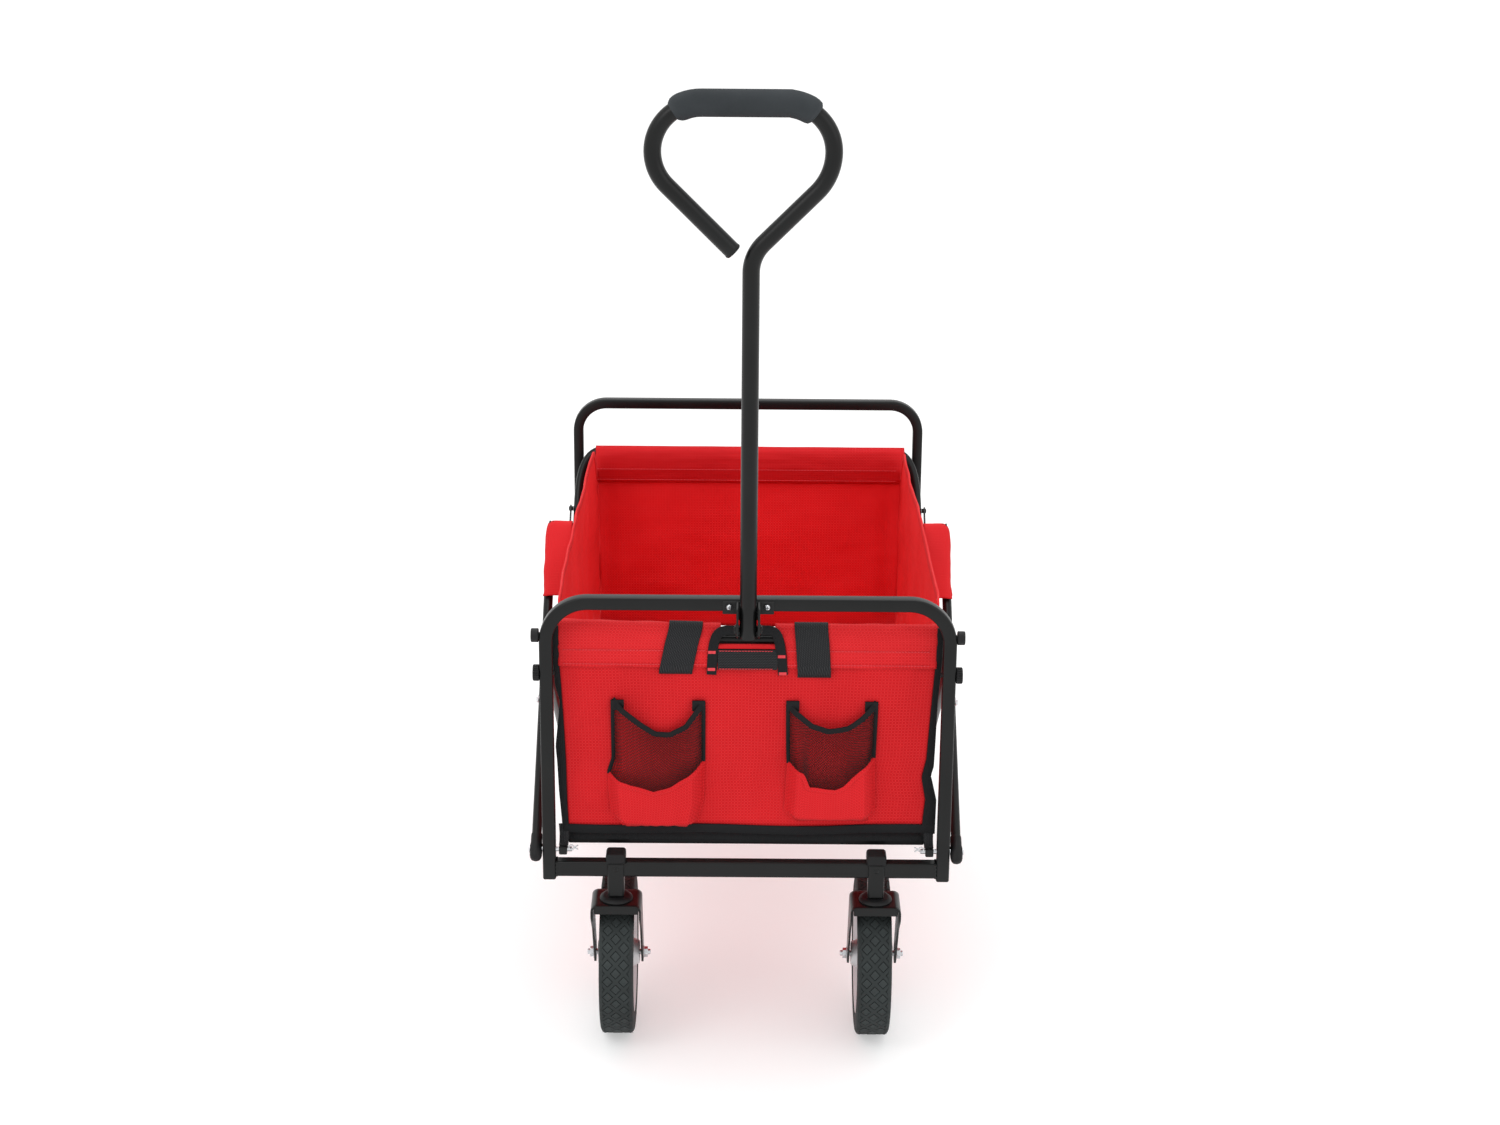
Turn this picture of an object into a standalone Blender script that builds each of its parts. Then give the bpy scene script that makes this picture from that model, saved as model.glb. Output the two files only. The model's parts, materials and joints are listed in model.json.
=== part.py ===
"""Folding camp wagon: tube frame on double scissor sides, fabric tub, castors and a pull handle.

Metres, +Z up.  The pull handle and the castors are at the -Y end.  Shapes are written in the wagon's
own frame, where y = 0 is the front hoop's centre plane and z = 0 the ground.  The root empty then
moves everything so that the origin lies on the ground under the middle of the bounding box.
"""

import math

import bmesh
import bpy
from mathutils import Matrix, Vector

# ---------------------------------------------------------------- driving dimensions
GAP = 0.0003                    # clearance left between touching pieces

HOOP_WIDTH = 0.498              # outside width of both hoops
HOOP_DISTANCE = 0.722           # between the hoops' centre planes, wagon open
FOLDED_DISTANCE = 0.270         # the same, wagon folded
LEG_BOTTOM = 0.235
FRONT_TOP = 0.603
REAR_TOP = 0.633
FRONT_TUBE = 0.016
REAR_TUBE = 0.014
FRONT_BEND = 0.050
REAR_BEND = 0.040
TUBE_WALL = 0.0012

CROSSBAR_LOW = 0.238
CROSSBAR_HIGH = 0.258

KNOB_Z = 0.5045                 # ribbed knobs on the front legs
LOCK_Z = 0.5525                 # plain lock knobs above them
SCREW_X = 0.0226
SCREW_Z = 0.5935

BRACE_TUBE = 0.012
BRACE_X = 0.2572                # lower braces run outside the hoops' legs
RIM_ARM_X = 0.241               # rim hoops run behind the legs
PIVOT_Z = 0.272                 # braces and floor frame are pinned to the legs here
RIM_Z = 0.5625                  # the braces' upper joints and the rear rim crossbar
FRONT_RIM_Z = 0.5405            # the front rim crossbar hangs lower in its sleeve
RIM_INSET = 0.022               # rim crossbars lie this far inside the hoops' planes

WHEEL_RADIUS = 0.1016
TYRE_WIDTH = 0.0425
RIM_RADIUS = 0.0765
CASTOR_X = 0.1595
CASTOR_TRAIL = 0.058
CROWN_TOP = 0.206
REAR_WHEEL_X = 0.2115

HANDLE_RADIUS = 0.010
HANDLE_Y = -0.0215
HANDLE_PIVOT_Z = 0.570
HANDLE_FOOT = 0.5595            # lower end of the handle's tube
LOOP_Z = 1.1394
LOOP_RADIUS = 0.0546
LOOP_LEFT_X = -0.0565
LOOP_RIGHT_X = 0.0367
LOOP_LOWER_RADIUS = 0.064
STEM_BEND = 0.048

FLOOR_TUBE = 0.010
FLOOR_TUBE_X = 0.224
CLOTH = 0.002                   # thickness of the plain solids that stand for cloth
CLOTH_X = 0.2255                # outside of the side panels
CLOTH_FRONT_Y = 0.0135          # outer face of the front panel
CLOTH_BOTTOM = 0.2905
CLOTH_TOP = 0.5710
SIDE_TOP = 0.5690
MAT_HALF_WIDTH = 0.2160
MAT_THICKNESS = 0.007

SIDES = (("left", -1), ("right", 1))

# ---------------------------------------------------------------- the folding linkage
HALF = HOOP_DISTANCE / 2
RISE = RIM_Z - PIVOT_Z
BRACE_LENGTH = math.hypot(HALF, RISE)
BRACE_ANGLE = math.atan2(RISE, HALF)
FOLD_ANGLE = math.acos(FOLDED_DISTANCE / 2 / BRACE_LENGTH) - BRACE_ANGLE
COS, SIN = math.cos(BRACE_ANGLE), math.sin(BRACE_ANGLE)
# The crossing point is placed so that the front rim crossbar has the same inset open and folded.
TO_CROSSING = (FRONT_RIM_Z - PIVOT_Z - RIM_INSET * math.tan(FOLD_ANGLE / 2)) / (2 * SIN)
CROSS_Y = TO_CROSSING * COS
CROSS_Z = PIVOT_Z + TO_CROSSING * SIN
FOOT_Z = CROSS_Z - (BRACE_LENGTH - TO_CROSSING) * SIN
FLOOR_FOLD = math.acos(FOLDED_DISTANCE / HOOP_DISTANCE)

# The root stands under the middle of the box, from the front tyres to the rear tyres.
FRONT_END = CASTOR_TRAIL - WHEEL_RADIUS
REAR_END = HOOP_DISTANCE + WHEEL_RADIUS
ROOT_Y = -(FRONT_END + REAR_END) / 2

BODY_PIVOTS = {
    "front_frame": (0, 0, 0),
    "handle": (0, HANDLE_Y, HANDLE_PIVOT_Z),
    "castor_left": (-CASTOR_X, 0, CROWN_TOP),
    "castor_right": (CASTOR_X, 0, CROWN_TOP),
    "front_wheel_left": (-CASTOR_X, CASTOR_TRAIL, WHEEL_RADIUS),
    "front_wheel_right": (CASTOR_X, CASTOR_TRAIL, WHEEL_RADIUS),
    "front_brace": (0, 0, PIVOT_Z),
    "front_rim": (0, CROSS_Y, CROSS_Z),
    "rear_brace": (0, HALF, RIM_Z),
    "rear_rim": (0, HOOP_DISTANCE - CROSS_Y, CROSS_Z),
    "rear_frame": (0, HOOP_DISTANCE, PIVOT_Z),
    "rear_wheel_left": (-REAR_WHEEL_X, HOOP_DISTANCE, WHEEL_RADIUS),
    "rear_wheel_right": (REAR_WHEEL_X, HOOP_DISTANCE, WHEEL_RADIUS),
    "floor_front": (0, 0, PIVOT_Z),
    "floor_rear": (0, HALF, PIVOT_Z),
    "front_cloth": (0, RIM_INSET, FRONT_RIM_Z),
    "side_cloth": (0, HALF, RIM_Z),
    "rear_cloth": (0, HOOP_DISTANCE - RIM_INSET, RIM_Z),
}

FINISHES = {
    "black_paint": ((0.02, 0.021, 0.022), 0.42, 0.0),
    "zinc": ((0.62, 0.63, 0.65), 0.3, 1.0),
    "black_plastic": ((0.018, 0.018, 0.019), 0.5, 0.0),
    "foam": ((0.04, 0.045, 0.05), 0.85, 0.0),
    "tyre_rubber": ((0.03, 0.036, 0.036), 0.75, 0.0),
    "wheel_plastic": ((0.58, 0.57, 0.58), 0.45, 0.0),
    "red_cloth": ((0.62, 0.015, 0.02), 0.85, 0.0),
    "red_lining": ((0.48, 0.01, 0.015), 0.85, 0.0),
}


# ---------------------------------------------------------------- helpers
def clear_scene():
    for obj in list(bpy.data.objects):
        bpy.data.objects.remove(obj, do_unlink=True)


def make_material(name):
    color, roughness, metallic = FINISHES[name]
    material = bpy.data.materials.new(name)
    material.use_nodes = True
    shader = material.node_tree.nodes["Principled BSDF"]
    shader.inputs["Base Color"].default_value = (*color, 1.0)
    shader.inputs["Roughness"].default_value = roughness
    shader.inputs["Metallic"].default_value = metallic
    material.diffuse_color = (*color, 1.0)
    return material


def make_empties():
    root = bpy.data.objects.new("wagon_origin", None)
    root.location = (0, ROOT_Y, 0)
    bpy.context.collection.objects.link(root)
    empties = {}
    for body, pivot in BODY_PIVOTS.items():
        empty = bpy.data.objects.new("axis_" + body, None)
        empty.location = pivot
        empty.parent = root
        bpy.context.collection.objects.link(empty)
        empties[body] = empty
    return empties


def add(name, bm, body, finish, smooth=True):
    """Turn a bmesh written in the wagon's frame into an object with its origin on its body's axis."""
    bmesh.ops.recalc_face_normals(bm, faces=bm.faces[:])
    mesh = bpy.data.meshes.new(name)
    bm.to_mesh(mesh)
    bm.free()
    mesh.transform(Matrix.Translation(-Vector(BODY_PIVOTS[body])))
    if smooth:
        mesh.shade_smooth()
        mesh.set_sharp_from_angle(angle=math.radians(35))
    obj = bpy.data.objects.new(name, mesh)
    obj.parent = EMPTIES[body]
    if finish:
        mesh.materials.append(make_material(finish))
    bpy.context.collection.objects.link(obj)
    return obj


def as_tool(obj):
    obj.hide_render = True
    obj.display_type = "WIRE"
    return obj


def boolean(obj, tool, operation):
    modifier = obj.modifiers.new(operation.lower() + "_" + tool.name, "BOOLEAN")
    modifier.operation = operation
    modifier.solver = "EXACT"
    modifier.object = as_tool(tool)


def weld(obj, *tools):
    for tool in tools:
        boolean(obj, tool, "UNION")


def circle(radius, count=10, start=0.0):
    angles = [start + 2 * math.pi * i / count for i in range(count)]
    return [(radius * math.cos(angle), radius * math.sin(angle)) for angle in angles]


def rounded_rectangle(half_n, half_b, radius, steps=1):
    points = []
    for quarter, (sign_n, sign_b) in enumerate(((1, 1), (-1, 1), (-1, -1), (1, -1))):
        for step in range(steps + 1):
            angle = (quarter + step / steps) * math.pi / 2
            points.append((sign_n * (half_n - radius) + radius * math.cos(angle),
                           sign_b * (half_b - radius) + radius * math.sin(angle)))
    return points


def arc(center, radius, start, end, steps, plane="xz", level=0.0):
    """Points on an arc, angles in degrees, in the xz plane at y = level or yz plane at x = level."""
    points = []
    for i in range(steps + 1):
        angle = math.radians(start + (end - start) * i / steps)
        u = center[0] + radius * math.cos(angle)
        v = center[1] + radius * math.sin(angle)
        points.append(Vector((u, level, v)) if plane == "xz" else Vector((level, u, v)))
    return points


def bezier(p0, p1, p2, p3, steps):
    """Points on a cubic curve, its first point left out."""
    points = []
    for i in range(1, steps + 1):
        t = i / steps
        s = 1 - t
        points.append(p0 * s ** 3 + p1 * 3 * s * s * t + p2 * 3 * s * t * t + p3 * t ** 3)
    return points


def frames(path, first_normal):
    """Tangent, normal and binormal at each point, carried along the path without twist."""
    tangents = []
    for i in range(len(path)):
        before = path[max(i - 1, 0)]
        after = path[min(i + 1, len(path) - 1)]
        tangents.append((after - before).normalized())
    normal = (first_normal - tangents[0] * first_normal.dot(tangents[0])).normalized()
    result = []
    for i, tangent in enumerate(tangents):
        if i:
            normal = tangents[i - 1].rotation_difference(tangent) @ normal
        normal = (normal - tangent * normal.dot(tangent)).normalized()
        result.append((tangent, normal, tangent.cross(normal)))
    return result


def ring_faces(bm, first, second):
    count = len(first)
    for i in range(count):
        j = (i + 1) % count
        bm.faces.new((first[i], first[j], second[j], second[i]))


def swept(name, path, section, body, finish, normal=(0, 1, 0), bore=None, bore_from=0, bore_to=None):
    """Sweep a section along a path.  section(i) and bore(i) give the outline at the path's point i."""
    bm = bmesh.new()
    axes = frames(path, Vector(normal))
    last = len(path) - 1
    bore_to = last if bore_to is None else bore_to

    def ring(i, outline):
        _, n, b = axes[i]
        return [bm.verts.new(path[i] + n * u + b * v) for u, v in outline]

    outer = [ring(i, section(i)) for i in range(last + 1)]
    for i in range(last):
        ring_faces(bm, outer[i], outer[i + 1])
    inner = {}
    if bore:
        inner = {i: ring(i, bore(i)) for i in range(bore_from, bore_to + 1)}
        for i in range(bore_from, bore_to):
            ring_faces(bm, inner[i], inner[i + 1])
        for i in (bore_from, bore_to):
            if i not in (0, last):
                bm.faces.new(inner[i])
    for i in (0, last):
        if i in inner:
            ring_faces(bm, outer[i], inner[i])
        else:
            bm.faces.new(outer[i])
    return add(name, bm, body, finish)


def turned(name, profile, center, body, finish, axis=(1, 0, 0), count=16, ring=False, on_flat=False):
    """Turn (along, radius) points about an axis through center.

    ring closes the profile on itself.  on_flat gives radii to the flats instead of the corners and
    puts a flat at the bottom, for a wheel that stands on the ground.
    """
    bm = bmesh.new()
    half_step = math.pi / count
    grow = 1 / math.cos(half_step) if on_flat else 1.0
    turn = half_step if on_flat else 0.0
    axis = Vector(axis).normalized()
    side = axis.orthogonal().normalized()
    if abs(axis.x) > 0.9:
        side = Vector((0, 0, 1))
    across = axis.cross(side)
    center = Vector(center)
    rows = []
    for along, radius in profile:
        row = []
        for u, v in circle(radius * grow, count, turn):
            row.append(bm.verts.new(center + axis * along + side * u + across * v))
        rows.append(row)
    for first, second in zip(rows, rows[1:]):
        ring_faces(bm, first, second)
    if ring:
        ring_faces(bm, rows[-1], rows[0])
    else:
        bm.faces.new(rows[0])
        bm.faces.new(rows[-1])
    return add(name, bm, body, finish)


def plate(name, outline, axis, low, high, body, finish, smooth=False):
    """Extrude an outline along x, y or z.  The outline's points are the two other coordinates."""
    bm = bmesh.new()
    index = "xyz".index(axis)

    def point(pair, level):
        values = list(pair)
        values.insert(index, level)
        return bm.verts.new(values)

    bottom = [point(pair, low) for pair in outline]
    top = [point(pair, high) for pair in outline]
    ring_faces(bm, bottom, top)
    bm.faces.new(bottom)
    bm.faces.new(top)
    return add(name, bm, body, finish, smooth)


def block(name, low, high, body, finish, bevel=0.0):
    outline = [(low[0], low[1]), (high[0], low[1]), (high[0], high[1]), (low[0], high[1])]
    obj = plate(name, outline, "z", low[2], high[2], body, finish)
    if bevel:
        modifier = obj.modifiers.new("soft_edges", "BEVEL")
        modifier.width = bevel
        modifier.segments = 1
        modifier.limit_method = "ANGLE"
    return obj


def drill(obj, y, z, radius, x_low, x_high, body):
    tool = turned(obj.name + "_hole", [(x_low, radius), (x_high, radius)], (0, y, z), body, None, count=10)
    boolean(obj, tool, "DIFFERENCE")


# ---------------------------------------------------------------- hoops and their weldments
def hoop(name, y, top, tube, bend, body):
    half = HOOP_WIDTH / 2 - tube / 2
    high = top - tube / 2
    path = [Vector((-half, y, LEG_BOTTOM))]
    path += arc((-half + bend, high - bend), bend, 180, 90, 5, level=y)
    path += arc((half - bend, high - bend), bend, 90, 0, 5, level=y)
    path.append(Vector((half, y, LEG_BOTTOM)))
    outer = rounded_rectangle(tube / 2, tube / 2, 0.0025)
    inner = rounded_rectangle(tube / 2 - TUBE_WALL, tube / 2 - TUBE_WALL, 0.0015)
    obj = swept(name, path, lambda i: outer, body, "black_paint", bore=lambda i: inner)
    for _, side in SIDES:
        x = side * half
        drill(obj, y, PIVOT_Z, 0.0033, x - tube, x + tube, body)
    return obj


def crossbar(name, y, depth, tube, body):
    reach = HOOP_WIDTH / 2 - tube - GAP
    return block(name, (-reach, y - depth / 2, CROSSBAR_LOW), (reach, y + depth / 2, CROSSBAR_HIGH),
                 body, "black_paint", bevel=0.0015)


def front_frame():
    body = "front_frame"
    obj = hoop("front_hoop", 0, FRONT_TOP, FRONT_TUBE, FRONT_BEND, body)
    leg_x = HOOP_WIDTH / 2 - FRONT_TUBE / 2
    for _, side in SIDES:
        drill(obj, 0, KNOB_Z, 0.0033, side * leg_x - 0.012, side * leg_x + 0.012, body)
        drill(obj, 0, LOCK_Z, 0.0043, side * leg_x + (-0.012 if side < 0 else 0.004),
              side * leg_x + (-0.004 if side < 0 else 0.012), body)
    for side in (-1, 1):
        drill_y(obj, side * SCREW_X, SCREW_Z, 0.0023, -0.010, -0.005, body)

    bar = crossbar("front_crossbar", 0, FRONT_TUBE, FRONT_TUBE, body)
    for label, side in SIDES:
        x = side * CASTOR_X
        socket = block("socket_" + label, (x - 0.010, -0.0105, 0.2115), (x + 0.010, 0.0115, 0.2600),
                       body, None)
        cap = block("socket_cap_" + label, (x - 0.0122, -0.0125, 0.2560), (x + 0.0122, 0.0130, 0.2700),
                    body, None)
        weld(bar, socket, cap)


def drill_y(obj, x, z, radius, y_low, y_high, body):
    tool = turned(obj.name + "_hole", [(y_low, radius), (y_high, radius)], (x, 0, z), body, None,
                  axis=(0, 1, 0), count=8)
    boolean(obj, tool, "DIFFERENCE")


def handle_bracket():
    """A folded channel on the front hoop's top bar: two screwed flanges and two cheeks."""
    body = "front_frame"
    face = -FRONT_TUBE / 2 - GAP
    thick = 0.0015
    inner, outer = 0.0114, 0.0142
    obj = block("handle_bracket", (-0.0305, face - thick, 0.5845), (0.0305, face, 0.6005), body,
                "black_paint")
    cheek_outline = [(face - thick, 0.6005), (face, 0.6005), (face, 0.5760), (HANDLE_Y + 0.0090, 0.5620)]
    cheek_outline += [(p.y, p.z) for p in arc((HANDLE_Y, HANDLE_PIVOT_Z), 0.0105, -50, -180, 4, "yz")]
    cheek_outline += [(HANDLE_Y - 0.0105, 0.5900), (HANDLE_Y - 0.0065, 0.5970)]
    tools = []
    for label, side in SIDES:
        low, high = sorted((side * inner, side * outer))
        tools.append(plate("cheek_" + label, cheek_outline, "x", low, high, body, None))
    tools.append(block("bracket_web", (-outer, face - thick, 0.5770), (outer, face, 0.6005), body, None))
    weld(obj, *tools)
    drill(obj, HANDLE_Y, HANDLE_PIVOT_Z, 0.0034, -0.03, 0.03, body)
    for label, side in SIDES:
        drill_y(obj, side * SCREW_X, SCREW_Z, 0.0023, -0.015, 0.0, body)
        profile = [(-0.0122, 0.0018), (-0.0117, 0.0032), (-0.0101, 0.0036), (-0.0101, 0.0019), (-0.0062, 0.0019)]
        turned("bracket_screw_" + label, profile, (side * SCREW_X, 0, SCREW_Z), body, "zinc",
               axis=(0, 1, 0), count=10)


def side_fasteners():
    """Pins, ribbed knobs and lock knobs that stand through the front hoop's legs."""
    body = "front_frame"
    for label, side in SIDES:
        axis = (side, 0, 0)
        profile = [(0.2130, 0.0026), (0.2135, 0.0030), (0.2650, 0.0030), (0.2650, 0.0046), (0.2660, 0.0046),
                   (0.2667, 0.0032)]
        turned("front_pivot_pin_" + label, profile, (0, 0, PIVOT_Z), body, "zinc", axis=axis, count=10)
        knob = [(0.2310, 0.0026), (0.2312, 0.0030), (0.2493, 0.0030), (0.2493, 0.0090), (0.2505, 0.0100),
                (0.2560, 0.0100), (0.2572, 0.0088)]
        turned("ribbed_knob_" + label, knob, (0, 0, KNOB_Z), body, "black_plastic", axis=axis, count=20)
        lock = [(0.2458, 0.0034), (0.2460, 0.0039), (0.2493, 0.0039), (0.2493, 0.0078), (0.2505, 0.0084),
                (0.2578, 0.0084), (0.2586, 0.0076)]
        turned("lock_knob_" + label, lock, (0, 0, LOCK_Z), body, "black_plastic", axis=axis, count=20)


# ---------------------------------------------------------------- handle
def handle():
    body = "handle"
    limb = Vector((-math.sqrt(0.5), 0, math.sqrt(0.5)))
    loop_left = arc((LOOP_LEFT_X, LOOP_Z), LOOP_RADIUS, 225, 90, 8, level=HANDLE_Y)
    loop_right = arc((LOOP_RIGHT_X, LOOP_Z), LOOP_RADIUS, 90, 0, 5, level=HANDLE_Y)
    extreme = LOOP_RIGHT_X + LOOP_RADIUS
    lower_right = arc((extreme - LOOP_LOWER_RADIUS, LOOP_Z), LOOP_LOWER_RADIUS, 0, -45, 3, level=HANDLE_Y)
    limb_top = lower_right[-1]
    stem_bend_z = limb_top.z - limb_top.x - STEM_BEND * math.tan(math.pi / 8)
    stem_bend = arc((STEM_BEND, stem_bend_z), STEM_BEND, 135, 180, 3, level=HANDLE_Y)
    cut_end = loop_left[0] - limb * 0.1035
    path = [cut_end] + loop_left + loop_right + lower_right[1:] + stem_bend
    path.append(Vector((0, HANDLE_Y, HANDLE_FOOT)))
    tube = circle(HANDLE_RADIUS, 12)
    bore = circle(HANDLE_RADIUS - TUBE_WALL, 12)
    obj = swept("handle_tube", path, lambda i: tube, body, "black_paint", bore=lambda i: bore)
    drill(obj, HANDLE_Y, HANDLE_PIVOT_Z, 0.0034, -0.02, 0.02, body)

    grip_path = arc((LOOP_LEFT_X, LOOP_Z), LOOP_RADIUS, 125, 90, 3, level=HANDLE_Y)
    grip_path += arc((LOOP_RIGHT_X, LOOP_Z), LOOP_RADIUS, 90, 51, 3, level=HANDLE_Y)
    grip = circle(0.0156, 16)
    hole = circle(HANDLE_RADIUS + 0.0008, 16)
    swept("handle_grip", grip_path, lambda i: grip, body, "foam", bore=lambda i: hole)

    pin = [(-0.0172, 0.0042), (-0.0166, 0.0050), (-0.0146, 0.0050), (-0.0146, 0.0030), (0.0146, 0.0030),
           (0.0146, 0.0050), (0.0166, 0.0050), (0.0172, 0.0042)]
    turned("handle_pin", pin, (0, HANDLE_Y, HANDLE_PIVOT_Z), body, "black_paint", count=10)


# ---------------------------------------------------------------- wheels
def tyre(name, x, y, body):
    half = TYRE_WIDTH / 2
    shoulder = 0.0060
    profile = [(-half, RIM_RADIUS), (-half, WHEEL_RADIUS - shoulder), (-half + 0.002, WHEEL_RADIUS - 0.0020),
               (-half + shoulder, WHEEL_RADIUS), (half - shoulder, WHEEL_RADIUS),
               (half - 0.002, WHEEL_RADIUS - 0.0020), (half, WHEEL_RADIUS - shoulder), (half, RIM_RADIUS)]
    turned(name, profile, (x, y, WHEEL_RADIUS), body, "tyre_rubber", count=40, ring=True, on_flat=True)


def hub(name, x, y, body, bore):
    rim = RIM_RADIUS - 0.0004
    half = TYRE_WIDTH / 2 - 0.001
    profile = [(-half, rim), (-half, rim - 0.006), (-0.0140, rim - 0.009), (-0.0135, 0.018), (-0.0262, 0.014),
               (-0.0262, bore), (0.0262, bore), (0.0262, 0.014), (0.0135, 0.018), (0.0140, rim - 0.009),
               (half, rim - 0.006), (half, rim)]
    turned(name, profile, (x, y, WHEEL_RADIUS), body, "wheel_plastic", count=20, ring=True)


def castor(label, side):
    body = "castor_" + label
    x = side * CASTOR_X
    inner, outer = 0.0285, 0.0310
    crown = block("castor_fork_" + label, (x - outer, -0.0230, CROWN_TOP - 0.0030),
                  (x + outer, 0.0240, CROWN_TOP), body, "black_paint")
    lip = block("crown_lip_" + label, (x - outer, -0.0240, CROWN_TOP - 0.0110),
                (x + outer, -0.0215, CROWN_TOP), body, None)
    bearing = turned("bearing_" + label, [(-0.0010, 0.0190), (0.0050, 0.0190)], (x, 0, CROWN_TOP), body,
                     None, axis=(0, 0, 1), count=20)
    outline = [(-0.0240, CROWN_TOP), (0.0240, CROWN_TOP), (0.0340, 0.1800)]
    outline += [(p.y, p.z) for p in arc((CASTOR_TRAIL, WHEEL_RADIUS), 0.0125, 25, -155, 6, "yz")]
    outline += [(0.0080, 0.1600), (-0.0240, 0.1880)]
    legs = []
    for end, sign in (("a", -1), ("b", 1)):
        low, high = sorted((x + sign * inner, x + sign * outer))
        legs.append(plate("leg_" + end + "_" + label, outline, "x", low, high, body, None))
    weld(crown, lip, bearing, *legs)
    drill(crown, CASTOR_TRAIL, WHEEL_RADIUS, 0.0043, x - 0.04, x + 0.04, body)
    axle = [(-0.0400, 0.0030), (-0.0394, 0.0036), (-0.0366, 0.0036), (-0.0366, 0.0062), (-0.0314, 0.0062),
            (-0.0314, 0.0040), (0.0314, 0.0040), (0.0314, 0.0062), (0.0366, 0.0062), (0.0366, 0.0036),
            (0.0394, 0.0036), (0.0400, 0.0030)]
    turned("castor_axle_" + label, axle, (x, CASTOR_TRAIL, WHEEL_RADIUS), body, "zinc", count=10)
    tyre("front_tyre_" + label, x, CASTOR_TRAIL, "front_wheel_" + label)
    hub("front_hub_" + label, x, CASTOR_TRAIL, "front_wheel_" + label, 0.0046)


# ---------------------------------------------------------------- scissor braces and rim hoops
TONGUE = 0.026                  # flattened length beyond the pin
TONGUE_HALF = 0.0017            # half its thickness
TONGUE_WIDTH = 0.0156
TAPER = 0.014


def mirrored(points):
    return [Vector((p.x, HOOP_DISTANCE - p.y, p.z)) for p in points]


def brace(label, side, body, rear):
    """A straight tube from a leg's foot to the middle of the rim, its upper end flattened."""
    x = side * BRACE_X
    along = Vector((0, COS, SIN))
    foot = Vector((x, 0, PIVOT_Z))
    shift = Vector((side * (0.0018 + GAP), 0, 0)) * (-1 if rear else 1)
    start = -0.0080
    stations = [start, BRACE_LENGTH - TONGUE - TAPER, BRACE_LENGTH - TONGUE, BRACE_LENGTH + 0.0070]
    path = [foot + along * s for s in stations]
    path[2] += shift
    path[3] += shift
    if rear:
        path = mirrored(path)
    round_section = circle(BRACE_TUBE / 2)
    flat = [(u * TONGUE_HALF, v * TONGUE_WIDTH / 2) for u, v in circle(1.0)]
    bore = circle(BRACE_TUBE / 2 - 0.0010)
    name = ("brace_rear_" if rear else "brace_front_") + label
    obj = swept(name, path, lambda i: round_section if i < 2 else flat, body, "black_paint",
                normal=(1, 0, 0), bore=lambda i: bore, bore_to=1)
    low, high = sorted((side * 0.2480, side * 0.2680))
    ends = [(0, PIVOT_Z), (CROSS_Y, CROSS_Z), (HALF, RIM_Z)]
    for y, z in ends:
        hole_y = HOOP_DISTANCE - y if rear else y
        drill(obj, hole_y, z, 0.0033, low, high, body)
    return obj


def brace_cap(label, side):
    """A bulb-shaped plastic cap over the brace's lower end."""
    along = (0, COS, SIN)
    outer = [(-0.0160, 0.0030), (-0.0145, 0.0056), (-0.0105, 0.0074), (-0.0040, 0.0076), (0.0040, 0.0076),
             (0.0080, 0.0070), (0.0200, 0.0069)]
    inner = [(0.0200, 0.0063), (-0.0084, 0.0063)]
    obj = turned("brace_cap_" + label, outer + inner, (side * BRACE_X, 0, PIVOT_Z), "front_brace",
                 "black_plastic", axis=along, count=16)
    low, high = sorted((side * 0.2480, side * 0.2680))
    drill(obj, 0, PIVOT_Z, 0.0033, low, high, "front_brace")


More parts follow.
